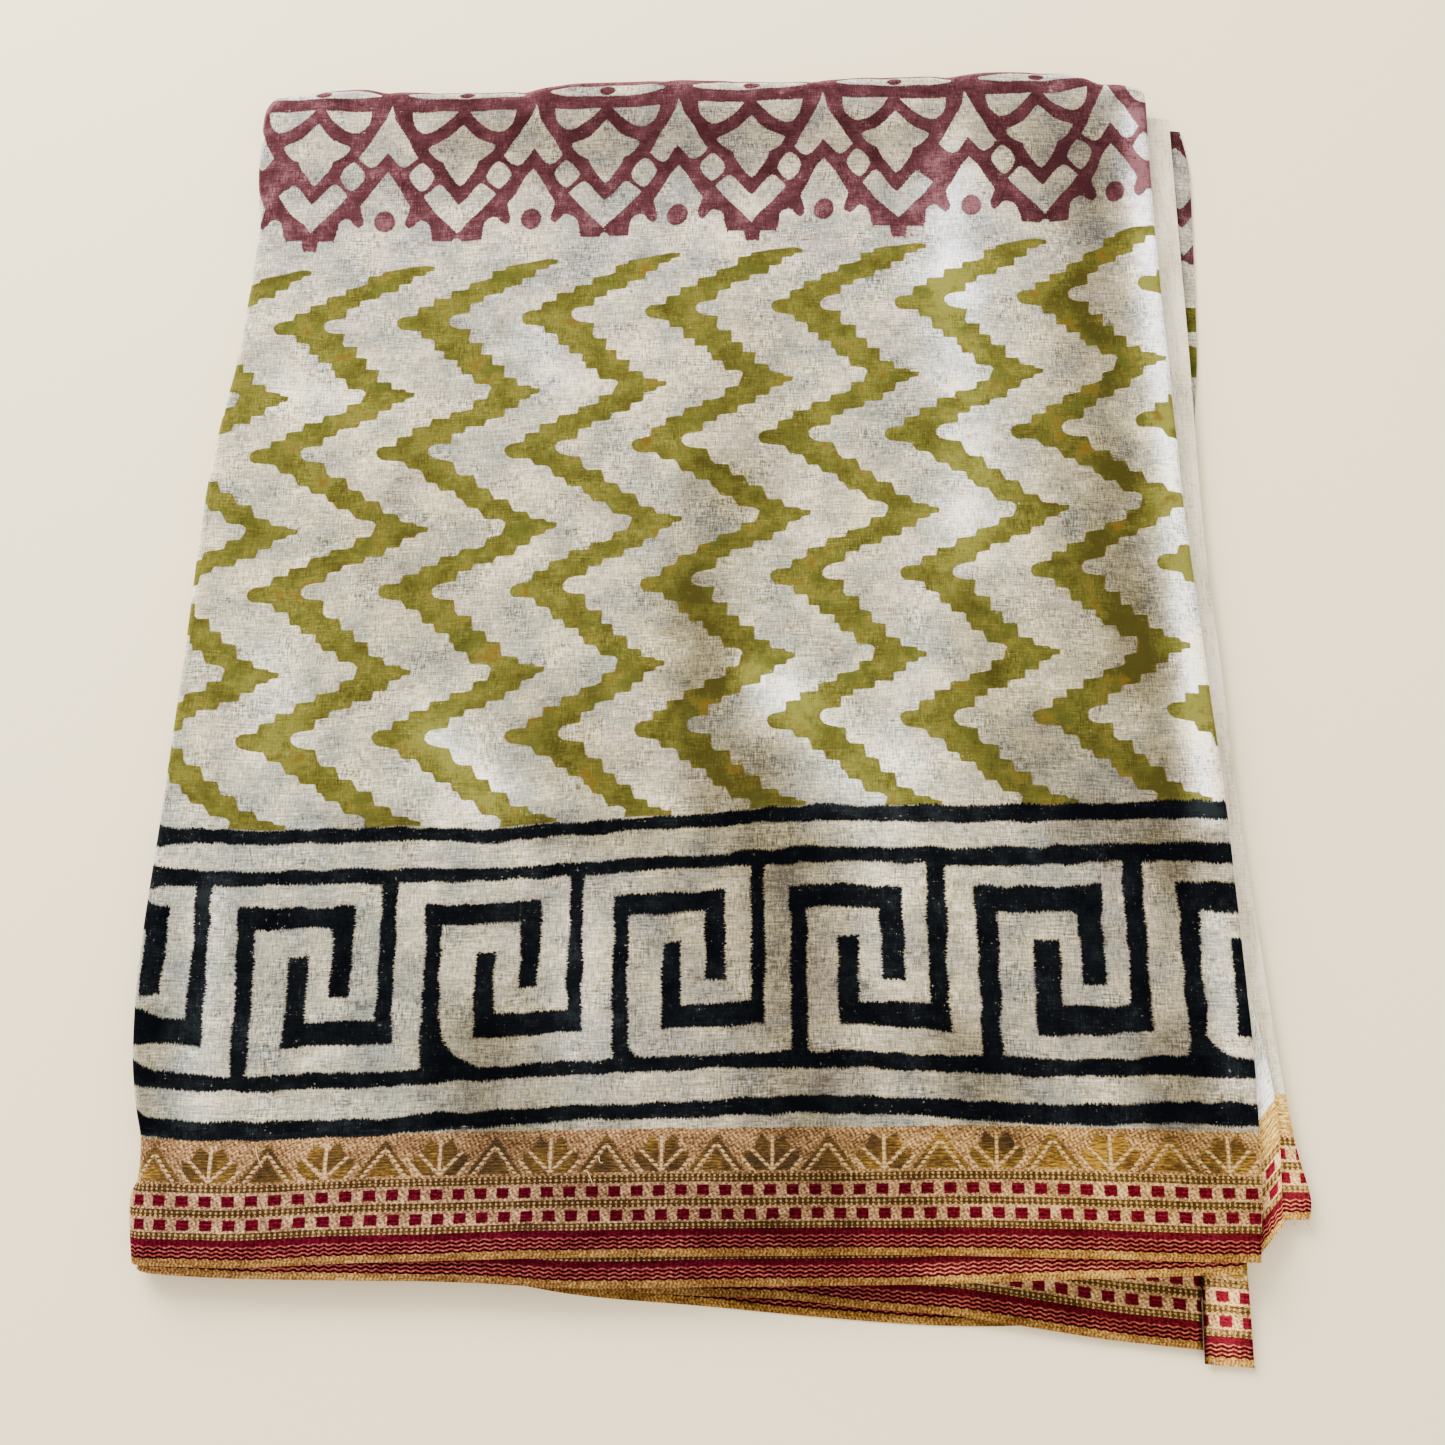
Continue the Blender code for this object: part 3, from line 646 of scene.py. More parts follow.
# Loose ends of thread, each bent along five places
LOOSE_THREADS = (
    (
        (-0.0532, -0.2390, 0.0198), (-0.0530, -0.2398, 0.0214), (-0.0520, -0.2414, 0.0219),
        (-0.0512, -0.2432, 0.0215), (-0.0509, -0.2449, 0.0199),
    ),
    (
        (-0.1936, -0.2290, 0.0196), (-0.1934, -0.2304, 0.0211), (-0.1926, -0.2326, 0.0214),
        (-0.1918, -0.2350, 0.0212), (-0.1900, -0.2384, 0.0196),
    ),
    (
        (-0.0480, -0.2330, 0.0199), (-0.0486, -0.2342, 0.0213), (-0.0484, -0.2360, 0.0217),
        (-0.0470, -0.2366, 0.0214), (-0.0466, -0.2354, 0.0200),
    ),
    (
        (0.2506, -0.2570, 0.0070), (0.2511, -0.2584, 0.0072), (0.2518, -0.2593, 0.0067),
        (0.2526, -0.2600, 0.0060), (0.2531, -0.2606, 0.0054),
    ),
    (
        (0.2462, -0.2572, 0.0070), (0.2465, -0.2586, 0.0072), (0.2463, -0.2595, 0.0066),
        (0.2467, -0.2602, 0.0059), (0.2466, -0.2607, 0.0054),
    ),
    (
        (0.2248, -0.3160, 0.0030), (0.2256, -0.3168, 0.0036), (0.2262, -0.3176, 0.0030),
        (0.2258, -0.3186, 0.0018), (0.2248, -0.3190, 0.0008),
    ),
    (
        (0.2090, -0.3150, 0.0030), (0.2088, -0.3162, 0.0034), (0.2092, -0.3174, 0.0028),
        (0.2086, -0.3184, 0.0014), (0.2090, -0.3192, 0.0006),
    ),
)

# Reflectances, each dark, middling and light: red, green and blue
COTTON = ((0.088, 0.083, 0.064), (0.340, 0.352, 0.296), (0.860, 0.900, 0.940))
BLACK = ((0.0014, 0.0019, 0.0030), (0.0038, 0.0049, 0.0068), (0.0130, 0.0178, 0.0225))
OLIVE = ((0.040, 0.0365, 0.0080), (0.0895, 0.0890, 0.0168), (0.185, 0.190, 0.042))
MAROON = ((0.027, 0.0085, 0.0115), (0.066, 0.0235, 0.0325), (0.195, 0.090, 0.118))
CREAM = ((0.440, 0.400, 0.320), (0.810, 0.755, 0.640), (0.980, 0.960, 0.900))
SQUARE_RED = ((0.022, 0.0010, 0.0026), (0.0620, 0.0024, 0.0086), (0.150, 0.0070, 0.026))
GOLD = ((0.021, 0.0092, 0.0012), (0.092, 0.0475, 0.0056), (0.350, 0.205, 0.027))
CRUSHED_GOLD = ((0.130, 0.064, 0.012), (0.440, 0.280, 0.085), (0.850, 0.680, 0.330))
SELVEDGE = ((0.055, 0.0200, 0.0070), (0.185, 0.0920, 0.0280), (0.480, 0.300, 0.110))
STRIPE = ((0.018, 0.0009, 0.0026), (0.0560, 0.0026, 0.0090), (0.130, 0.0090, 0.024))
DARK_STRIPE = ((0.007, 0.0006, 0.0014), (0.0190, 0.0010, 0.0026), (0.070, 0.0060, 0.010))
PINK = ((0.085, 0.0120, 0.0140), (0.255, 0.0470, 0.0480), (0.500, 0.165, 0.145))
CORD = ((0.032, 0.0170, 0.0070), (0.088, 0.0520, 0.0210), (0.400, 0.260, 0.120))
SQUARE_GROUND = ((0.090, 0.0480, 0.0260), (0.330, 0.1950, 0.1150), (0.740, 0.520, 0.330))
GROUND = ((0.066, 0.0335, 0.0150), (0.270, 0.1570, 0.0780), (0.700, 0.470, 0.270))
OLIVE_BROWN = (0.105, 0.058, 0.0070)
OLIVE_GREEN = (0.052, 0.064, 0.0120)
# The prints, from the first pressed: (name, reflectances, how ragged)
PRINTS = (("zigzag", OLIVE, 0.35), ("lattice", MAROON, 0.6), ("black", BLACK, 1.3))
COTTON_WARM = (1.075, 0.985, 0.83, 1.0)
COTTON_COOL = (0.94, 0.985, 1.13, 1.0)
COTTON_ROSE = (1.06, 0.955, 0.985, 1.0)
FIELD_COOL = (0.98, 0.958, 1.05, 1.0)
FIELD_GREY = (0.93, 0.965, 1.02, 1.0)
FIELD_WARM = (1.0, 0.978, 0.87, 1.0)
BORDER_SUNNY = (1.03, 1.0, 0.74, 1.0)
WHITE = (1.0, 1.0, 1.0, 1.0)
THREAD_CREAM = (0.62, 0.45, 0.26)
ROUGHNESS = 0.92
SHEEN = 0.05
# Painted light: how much lighter the cloth is painted where it turns away from view, as a sheen, and over
# which share of the turn
PAINTED_SHEEN = 0.45
PAINTED_SHEEN_FROM_TO = (0.42, 0.85)
LOOSE_THREAD = ((0.30, 0.20, 0.10), (0.58, 0.43, 0.26), (0.80, 0.66, 0.48))
FLOOR = ((0.98, 0.90, 0.70), (0.9653, 0.8865, 0.6895), (0.9506, 0.873, 0.679))
# Bands of the border: (from, kind, reflectances). The kinds are 1 plain, 2 cord, 3 speckled ground
# and 4 selvedge.
KINDS = 4
BORDER_BANDS = (
    (0.0, 4, SELVEDGE),
    (3.1, 1, DARK_STRIPE),
    (4.1, 1, PINK),
    (4.85, 1, DARK_STRIPE),
    (5.75, 1, PINK),
    (6.5, 1, DARK_STRIPE),
    (7.4, 1, PINK),
    (8.15, 1, STRIPE),
    (11.0, 2, CORD),
    (13.9, 3, SQUARE_GROUND),
    (20.2, 2, CORD),
    (23.4, 3, SQUARE_GROUND),
    (30.0, 2, CORD),
    (33.4, 3, GROUND),
)


def mix(a, b, share):
    return a + (b - a) * share


def drawn(table, column=1):
    """A smooth curve through the first column of a table and another one, for arrays of places."""
    at, to = (np.array([row[k] for row in table], dtype=float) for k in (0, column))
    fine = np.linspace(at[0], at[-1], CURVE_STEPS)
    k = np.clip(np.searchsorted(at, fine, side="right") - 1, 0, len(at) - 2)
    before, after = np.maximum(k - 1, 0), np.minimum(k + 2, len(at) - 1)
    span = at[k + 1] - at[k]
    f = (fine - at[k]) / span
    slope_in = (to[k + 1] - to[before]) / (at[k + 1] - at[before]) * span
    slope_out = (to[after] - to[k]) / (at[after] - at[k]) * span
    line = to[k] + (to[k + 1] - to[k]) * f * f * (3 - 2 * f)
    line += slope_in * f * (1 - f) ** 2 - slope_out * f * f * (1 - f)
    return lambda place: np.interp(place, fine, line)


left_side, right_side = drawn(SIDES, 1), drawn(SIDES, 2)
far_edge, near_edge = drawn(FAR_EDGE), drawn(NEAR_EDGE)
second_edge, third_edge, under_edge = drawn(SECOND_EDGE), drawn(THIRD_EDGE), drawn(UNDER_EDGE)
second_fold_edge, end_strip_edge = drawn(SECOND_FOLD_EDGE), drawn(END_STRIP_EDGE)
lower_layer_edge, under_right = drawn(LOWER_LAYER_EDGE), drawn(UNDER_RIGHT)
climbs = [drawn(PRINT_CLIMB, column) for column in (1, 2, 3, 4)]


def ripples(x, y):
    """The fine unevenness of washed cotton."""
    total = 0.0
    for length, rise, degrees, phase in RIPPLES:
        turn = math.radians(degrees)
        along = x * math.cos(turn) + y * math.sin(turn)
        across = y * math.cos(turn) - x * math.sin(turn)
        swell_length = RIPPLE_SWELL_LENGTH * length
        swell = 1 + RIPPLE_SWELL * np.sin(across * 2 * math.pi / swell_length + phase)
        total = total + rise * swell * np.sin(along * 2 * math.pi / length + phase)
    return total


def top_ripples(x, y, station):
    """The same on the top layers, where it fades out round the left roll."""
    return ripples(x, y) * np.clip(1 - ROLL_FADE * (station - 2), 0, 1)


def crease_height(x, y):
    total = 0.0
    for x0, y0, x1, y1, rise, half_width in CREASES:
        run_x, run_y = x1 - x0, y1 - y0
        length = math.hypot(run_x, run_y)
        along = ((x - x0) * run_x + (y - y0) * run_y) / length ** 2
        away = np.abs((x - x0) * run_y - (y - y0) * run_x) / length
        fade = np.clip(CREASE_FADE * along, 0, 1) * np.clip(CREASE_FADE * (1 - along), 0, 1)
        total = total + rise * fade * np.exp(-((away / half_width) ** 2))
    for at, depth, half_width in PUCKERS:
        near_fold = np.clip((y - far_edge(x) + PUCKER_REACH) / PUCKER_REACH, 0, 1)
        total = total - depth * near_fold ** 2 * np.exp(-(((x - at) / half_width) ** 2))
    return total


def painted_shading(x, y, table):
    """How much lighter or darker the cloth is painted at a place: painted light and painted shade from a
    table.
    """
    total = 0.0 * x
    for x0, y0, x1, y1, tone, half_width in table:
        run_x, run_y = x1 - x0, y1 - y0
        along = ((x - x0) * run_x + (y - y0) * run_y) / (run_x ** 2 + run_y ** 2)
        along = np.clip(along, 0, 1)
        away = np.hypot(x - x0 - along * run_x, y - y0 - along * run_y)
        total = total + tone * np.exp(-((away / half_width) ** 2))
    return total


def top_height(x, y):
    """Height of the middle of the top layer, before the far shoulder falls away."""
    across = (x - MIDDLE_X) / HALF_WIDTH
    along = (y - MIDDLE_Y) / HALF_DEPTH
    near = np.maximum(0.0, 1 - (y - near_edge(x)) / NEAR_FALL_LENGTH)
    height = CROWN - SIDE_FALL * across ** 4 - END_FALL * along ** 4
    return height - NEAR_FALL * near ** 2 + crease_height(x, y)


def across_path(station, y, step=0.0):
    """Place, inward direction and far roll share on the path that runs over the stack.

    Stations 0 to 1 are the right curl, 1 to 2 the top, 2 to 3 the left roll and 3 to 4 the tuck
    below. The step moves the path inwards, for a layer that lies inside the outer one.
    """
    left, right = left_side(y) + step, right_side(y) - step
    curl = mix(CURL_UNDER, math.pi / 2, np.minimum(station, 1))
    curl_z = top_height(right - RIGHT_CURL, y) - step - RIGHT_CURL * (1 - np.sin(curl))
    crest = left + LEFT_ROLL
    top_x = mix(right - RIGHT_CURL, crest, np.clip(station - 1, 0, 1))
    top, bottom = top_height(crest, y) - step, FLOOR_LAYER + step
    turned = np.clip(station - 2, 0, 1)
    roll = mix(math.pi / 2, 3 * math.pi / 2, turned)
    runs = [station <= 1, station <= 2, station <= 3]
    x = np.select(
        runs,
        [right - RIGHT_CURL * (1 - np.cos(curl)), top_x, crest + LEFT_ROLL * np.cos(roll)],
        crest + LEFT_TUCK * (station - 3),
    )
    roll_z = mix(bottom, top, (1 + np.sin(roll)) / 2)
    z = np.select(runs, [curl_z, top_height(top_x, y) - step, roll_z], bottom)
    rolling = (station > 2) & (station <= 3)
    inward_x = np.where(rolling, -np.cos(roll), 0.0)
    inward_z = np.where(rolling, -np.sin(roll), np.where(station > 3, 1.0, -1.0))
    return x, z, inward_x, inward_z, mix(1.0, UNDER_ROLL_SHARE, turned)


def far_section(station):
    """Distance from the far edge and inward fall: 0 to 1 is the shoulder, 1 to 2 the turn under."""
    turn_start = FAR_TURN * (1 - math.sin(SHOULDER_ANGLE))
    shoulder_run = FAR_SHOULDER * math.sin(SHOULDER_ANGLE)
    shoulder_fall = FAR_SHOULDER * (1 - math.cos(SHOULDER_ANGLE))
    shoulder = SHOULDER_ANGLE * np.clip(station, 0, 1)
    turn = mix(SHOULDER_ANGLE, TURN_END, np.clip(station - 1, 0, 1))
    back = np.where(
        station <= 1,
        turn_start + shoulder_run - FAR_SHOULDER * np.sin(shoulder),
        FAR_TURN * (1 - np.sin(turn)),
    )
    fall = np.where(
        station <= 1,
        FAR_SHOULDER * (1 - np.cos(shoulder)),
        shoulder_fall + FAR_TURN * (math.cos(SHOULDER_ANGLE) - np.cos(turn)),
    )
    return back, fall


def round_corner(x, y):
    """Eases a place in the far right corner onto a round corner."""
    centre_x, centre_y = right_side(y) - CORNER_RADIUS, far_edge(x) - CORNER_RADIUS
    p = np.clip((x - centre_x) / CORNER_RADIUS, 0, 1)
    q = np.clip((y - centre_y) / CORNER_RADIUS, 0, 1)
    corner = (p > 0) & (q > 0)
    round_x = centre_x + CORNER_RADIUS * p * np.sqrt(1 - q * q / 2)
    round_y = centre_y + CORNER_RADIUS * q * np.sqrt(1 - p * p / 2)
    return np.where(corner, round_x, x), np.where(corner, round_y, y)


def seam(x):
    """Where the border ends and the printed field begins."""
    return near_edge(x) + BORDER_WIDTH


def panel_depth(x, along, back):
    """How far back a place lies: along 0 to 1 is the run from the seam, and then the far fold."""
    y = far_edge(x) - back
    return np.where(along < 1, mix(seam(x), y, along), y)


def top_panel_place(across, along):
    """A place on the outer layer. Along 0 to 1 is the flat run from the seam, 1 to 3 the far edge."""
    back, fall = far_section(np.maximum(along - 1, 0.0))
    x = across_path(across, 0.0 * across)[0]
    for _ in range(SETTLE):
        y = panel_depth(x, along, back)
        x = across_path(across, y)[0]
    x, z, inward_x, inward_z, share = across_path(across, y)
    fall = fall * share
    flat = top_height(right_side(y) - RIGHT_CURL, y)
    curled = flat - ((flat - z) ** 3 + fall ** 3) ** (1 / 3)
    on_curl = across < 1
    x, y = round_corner(np.where(on_curl, x, x + inward_x * fall), y)
    return x, y, np.where(on_curl, curled, z + inward_z * fall) + top_ripples(x, y, across)


def top_border_place(across, along):
    x = across_path(across, near_edge(0.0) + 0.0 * across)[0]
    for _ in range(SETTLE):
        y = mix(near_edge(x), seam(x), along)
        x = across_path(across, y)[0]
    x, z, *_ = across_path(across, y)
    return x, y, z + top_ripples(x, y, across)


def second_border_place(across, along):
    x = across_path(across, second_edge(0.0) + 0.0 * across, SECOND_BORDER_STEP)[0]
    for _ in range(SETTLE):
        y = mix(second_edge(x), near_edge(x) + FLAP_BACK, along)
        x = across_path(across, y, SECOND_BORDER_STEP)[0]
    x, z, inward_x, inward_z, _ = across_path(across, y, SECOND_BORDER_STEP)
    sag = SECOND_BORDER_SAG * (1 - along) ** 2 * np.clip(3 - across, 0, 1)
    out = np.clip((near_edge(x) - y) / SECOND_BORDER_STEP, 0, 1) * np.clip(across - 2, 0, 1)
    return x + inward_x * sag - SECOND_BORDER_OUT * out, y, z + inward_z * sag


def second_fold_place(across, along):
    y = mix(SECOND_FOLD_NEAR, SECOND_FOLD_FAR, along)
    edge = second_fold_edge(y)
    angle = mix(math.pi / 2, SECOND_FOLD_CURL_END, np.clip(across - 1, 0, 1))
    flat_x = mix(right_side(y) - FLAP_INNER, edge - SECOND_FOLD_CURL, np.minimum(across, 1))
    x = np.where(across <= 1, flat_x, edge - SECOND_FOLD_CURL * (1 - np.cos(angle)))
    z = SECOND_FOLD_HEIGHT - SECOND_FOLD_CURL * (1 - np.sin(angle))
    proud = np.maximum(0.0, x - right_side(SECOND_FOLD_NEAR)) * (1 - along) ** SECOND_FOLD_SLANT_FADE
    return x, y + SECOND_FOLD_SLANT * proud, z


def third_border_place(across, along):
    x = mix(THIRD_LEFT, THIRD_RIGHT, across)
    back = near_edge(x) + FLAP_BACK
    y = mix(third_edge(x), back, along)
    droop = np.minimum(1.0, (back - y) / THIRD_BORDER_DROOP_LENGTH)
    return x, y, mix(FLAP_HEIGHT, THIRD_BORDER_EDGE_HEIGHT, droop)


def tail_strip_place(across, along):
    x = mix(TAIL_TIP_LEFT, TAIL_LEFT, along) + mix(TAIL_TIP_WIDTH, TAIL_WIDTH, along) * across
    y = mix(TAIL_END + TAIL_END_RISE * across, near_edge(x) + FLAP_BACK, along)
    return x, y, mix(FLAP_HEIGHT, TAIL_END_HEIGHT, (1 - along) ** TAIL_DROOP_POWER)


def end_strip_point(across, y):
    x = mix(right_side(y) - FLAP_INNER, end_strip_edge(y), across)
    return x, y, END_STRIP_HEIGHT - END_STRIP_DROOP * across ** 2


def end_strip_place(across, along):
    return end_strip_point(across, mix(END_BORDER_TOP, END_STRIP_FAR, along))


def end_border_place(across, along):
    return end_strip_point(across, mix(END_BORDER_END, END_BORDER_TOP, along))


def lower_layer_place(across, along):
    y = mix(LOWER_LAYER_NEAR, LOWER_LAYER_FAR, along)
    x = mix(right_side(y) - FLAP_INNER, lower_layer_edge(y), across)
    return x, y, LOWER_LAYER_HEIGHT - LOWER_LAYER_DROOP * across ** 4


def under_left(y):
    return left_side(y) + LEFT_ROLL + LEFT_TUCK


def under_panel_place(across, along):
    back, fall = far_section(np.maximum(along - 1, 0.0))
    x = mix(left_side(0.0), right_side(0.0), across)
    for _ in range(SETTLE):
        y = panel_depth(x, along, back)
        x = mix(under_left(y), under_right(y), across)
    return x, y, FLOOR_LAYER + fall * UNDER_ROLL_SHARE


def under_border_place(across, along):
    x = mix(left_side(0.0), right_side(0.0), across)
    for _ in range(SETTLE):
        y = mix(under_edge(x), seam(x), along)
        x = mix(under_left(y), under_right(y), across)
    return x, y, FLOOR_LAYER + 0.0 * x


def stations(*runs):
    """Stations along a path: each run is (from, to, steps)."""
    found = [runs[0][0]]
    for start, stop, steps in runs:
        found += [mix(start, stop, (k + 1) / steps) for k in range(steps)]
    return np.array(found)


def joined(operation, turned=False):
    """A method that makes one node of a value and another, with the other first where turned."""

    def method(self, other):
        pair = (other, self) if turned else (self, other)
        return self.sketch.math(operation, *pair)

    return method


class Value:
    """An output of a node that can be added, multiplied and so on, like a number."""

    def __init__(self, sketch, socket):
        self.sketch, self.socket = sketch, socket

    __add__, __radd__ = joined("ADD"), joined("ADD", turned=True)
    __sub__, __rsub__ = joined("SUBTRACT"), joined("SUBTRACT", turned=True)
    __mul__, __truediv__ = joined("MULTIPLY"), joined("DIVIDE")

    def __abs__(self):
        return self.sketch.math("ABSOLUTE", self)


class Sketch:
    """Adds nodes to one tree."""

    def __init__(self, tree):
        self.tree = tree
        self.count = 0

    def node(self, kind, inputs=(), **settings):
        node = self.tree.nodes.new(kind)
        node.location = (200 * (self.count // 10), -180 * (self.count % 10))
        self.count += 1
        for name, value in settings.items():
            setattr(node, name, value)
        for key, value in dict(inputs).items():
            self.feed(node.inputs[key], value)
        return node

    def feed(self, socket, value):
        if isinstance(value, Value):
            self.tree.links.new(value.socket, socket)
        else:
            socket.default_value = value

    def math(self, operation, *values):
        node = self.node("ShaderNodeMath", enumerate(values), operation=operation)
        return Value(self, node.outputs[0])

    def least(self, first, *others):
        for other in others:
            first = self.math("MINIMUM", first, other)
        return first

    def most(self, first, *others):
        for other in others:
            first = self.math("MAXIMUM", first, other)
        return first

    def wrap(self, value, repeat):
        """The value moved by whole repeats to lie within half a repeat of 0."""
        return self.math("WRAP", value, repeat / 2, -repeat / 2)

    def wave(self, value, repeat):
        return self.math("SINE", value * (2 * math.pi / repeat))

    def split(self, vector):
        node = self.node("ShaderNodeSeparateXYZ", {"Vector": vector})
        return [Value(self, node.outputs[k]) for k in range(2)]

    def join(self, across, up):
        node = self.node("ShaderNodeCombineXYZ", {"X": across, "Y": up})
        return Value(self, node.outputs[0])

    def chart(self, value, rows):
        """The value's reading off a line drawn straight through rows of (value, reading)."""
        low, high = rows[0][0], rows[-1][0]
        least, most = min(row[1] for row in rows), max(row[1] for row in rows)
        node = self.node("ShaderNodeFloatCurve")
        curve = node.mapping.curves[0]
        for _ in rows[2:]:
            curve.points.new(0.5, 0.5)
        for point, (at, reading) in zip(curve.points, rows):
            point.location = ((at - low) / (high - low), (reading - least) / (most - least))
            point.handle_type = "VECTOR"
        node.mapping.update()
        self.feed(node.inputs["Value"], (value - low) / (high - low))
        return Value(self, node.outputs[0]) * (most - least) + least

    def shades(self, tone, reflectances):
        """A colour between three: dark at tone 0, middling at a half and light at 1."""
        node = self.node("ShaderNodeValToRGB", {"Fac": tone})
        node.color_ramp.elements.new(0.5)
        for element, at, reflectance in zip(node.color_ramp.elements, (0.0, 0.5, 1.0), reflectances):
            element.position = at
            element.color = reflectance + (1.0,)
        return Value(self, node.outputs[0])

    def noise(self, vector, scale, detail=2.0, roughness=0.5):
        node = self.node(
            "ShaderNodeTexNoise",
            {"Vector": vector, "Scale": scale, "Detail": detail, "Roughness": roughness},
        )
        return Value(self, node.outputs[0]), Value(self, node.outputs[1])

    def grain(self, place, across, up, detail=2.0, roughness=0.5):
        """Unevenness with this many grains to a mm across the cloth and up it."""
        return self.noise(self.stretch(place, across, up), 1.0, detail, roughness)[0]

    def length(self, across, up):
        return self.math("SQRT", across * across + up * up)

    def ramp(self, value, low, high, start=0.0, stop=1.0):
        """A smooth rise from start to stop while the value goes from low to high."""
        node = self.node(
            "ShaderNodeMapRange",
            {"Value": value, "From Min": low, "From Max": high, "To Min": start, "To Max": stop},
            interpolation_type="SMOOTHSTEP",
        )
        return Value(self, node.outputs[0])

    def blend(self, share, first, second, mode="MIX"):
        """A colour between two others."""
        node = self.node("ShaderNodeMix", data_type="RGBA", blend_type=mode)
        for key, value in ((0, share), (6, first), (7, second)):
            self.feed(node.inputs[key], value)
        return Value(self, node.outputs[2])

    def tint(self, colour, by):
        return self.blend(1.0, colour, by, "MULTIPLY")

    def expose(self, colour, stops):
        """The colour made twice as light for each stop."""
        return self.scale(colour, self.math("POWER", 2.0, stops))

    def vector_math(self, operation, vector, key, value):
        node = self.node("ShaderNodeVectorMath", {0: vector, key: value}, operation=operation)
        return Value(self, node.outputs[0])

    def stretch(self, vector, across, up):
        return self.vector_math("MULTIPLY", vector, 1, (across, up, 1.0))

    def scale(self, vector, factor):
        return self.vector_math("SCALE", vector, "Scale", factor)

    def move(self, vector, by):
        return self.vector_math("ADD", vector, 1, by)

    def group(self, tree, **inputs):
        """Places a group; gives its outputs by name."""
        node = self.node("ShaderNodeGroup", node_tree=tree)
        for name, value in inputs.items():
            self.feed(node.inputs[name.replace("_", " ")], value)
        return {output.name: Value(self, output) for output in node.outputs}


def make_group(name, inputs, outputs, draw):
    """A node group: draw(sketch, *inputs) returns the outputs in their order."""
    tree = bpy.data.node_groups.new(name, "ShaderNodeTree")
    for socket, kind, default in inputs:
        made = tree.interface.new_socket(socket, in_out="INPUT", socket_type=kind)
        if default is not None:
            made.default_value = default
    for socket, kind in outputs:
        tree.interface.new_socket(socket, in_out="OUTPUT", socket_type=kind)
    sketch = Sketch(tree)
    source = sketch.node("NodeGroupInput")
    drawn_outputs = draw(sketch, *(Value(sketch, source.outputs[k]) for k in range(len(inputs))))
    target = sketch.node("NodeGroupOutput")
    for socket, value in zip(target.inputs, drawn_outputs):
        sketch.feed(socket, value)
    return tree


FLOAT, VECTOR, COLOUR = "NodeSocketFloat", "NodeSocketVector", "NodeSocketColor"


def draw_ragged(sketch, place, amount):
    """Shifts a place from thread to thread and slowly, as a hand-pressed block on cloth does."""
    across, up = sketch.split(place)
    jag_across = sketch.grain(place, 0.28, 1.5, 2.0, 0.65)
    jag_up = sketch.grain(place, 1.5, 0.28, 2.0, 0.65)
    _, slow = sketch.noise(place, 0.055, 1.0)
    slow_across, slow_up = sketch.split(slow)
    across = across + (jag_across - 0.5) * amount * JAG_ACROSS + (slow_across - 0.5) * DRIFT
    up = up + (jag_up - 0.5) * amount * JAG_UP + (slow_up - 0.5) * DRIFT
    return [sketch.join(across, up)]


def draw_weave(sketch, place):
    """Plain weave with slubs and patches of thin, open cloth: a tone around 0 and a height in mm."""
    across, up = sketch.split(place)
    weft = sketch.grain(place, 0.22, 1.25, 2.0, 0.7)
    warp = sketch.grain(place, 1.35, 0.20, 2.0, 0.7)
    grain, _ = sketch.noise(place, 1.7, 1.0)
    slub = sketch.grain(place, 0.06, 1.1, 1.0)
    drift, _ = sketch.noise(place, 0.3, 1.0)
    over_warp = sketch.wave(across + drift * 1.2, WEAVE_REPEAT)
    over = over_warp * sketch.wave(up + drift * 0.9, WEAVE_REPEAT)
    open_cloth, _ = sketch.noise(sketch.move(place, (40.0, 15.0, 0.0)), 0.055, 3.0, 0.65)
    thin = sketch.ramp(open_cloth, 0.47, 0.63)
    threads = (weft - 0.5) * 0.9 + (warp - 0.5) * 1.1
    gaps = sketch.ramp(threads, 0.02, -0.2)
    tone = threads * (0.95 + thin * 0.5) + (grain - 0.5) * 0.7 + (slub - 0.5) * 0.5
    tone = tone + over * (0.06 + thin * 0.06) - gaps * thin * 0.14
    crinkle = sketch.grain(place, 0.12, 0.15, 2.0, 0.55)
    height = threads * 0.14 + over * 0.025 + crinkle * 0.55
    return [tone, height]


def draw_black(sketch, place):
    """The band of hooked bars between four black lines: how deep a place lies in the ink, in mm."""
    across, up = sketch.split(place)
    strayed = across - sketch.chart(across, MEANDER_STRAY)
    depth = OUTSIDE
    for start, stop, near, far in MEANDER_BARS:
        shifted = sketch.wrap(strayed - (MEANDER_START + (start + stop) / 2), MEANDER_REPEAT)
        bar = sketch.least((stop - start) / 2 - abs(shifted), up - near, far - up)
        depth = sketch.math("SMOOTH_MAX", depth, bar, HOOK_ROUNDING)
    for centre, half in BLACK_LINES:
        depth = sketch.math("SMOOTH_MAX", depth, half - abs(up - centre), LINE_ROUNDING)
    for corner_x, corner_y, reach in BLOTS:
        p, q = across - corner_x, up - corner_y
        corner = sketch.least(reach - p, reach - q, p + BLOT_OVERLAP, q + BLOT_OVERLAP)
        p, q = reach - sketch.most(p, 0.0), reach - sketch.most(q, 0.0)
        curve = sketch.length(p, q) - reach
        depth = sketch.most(depth, sketch.least(corner, curve))
    uneven, _ = sketch.noise(place, 0.07, 2.0)
    return [depth + (uneven - 0.5) * BLACK_UNEVEN + sketch.chart(across, BLACK_SPREAD)]


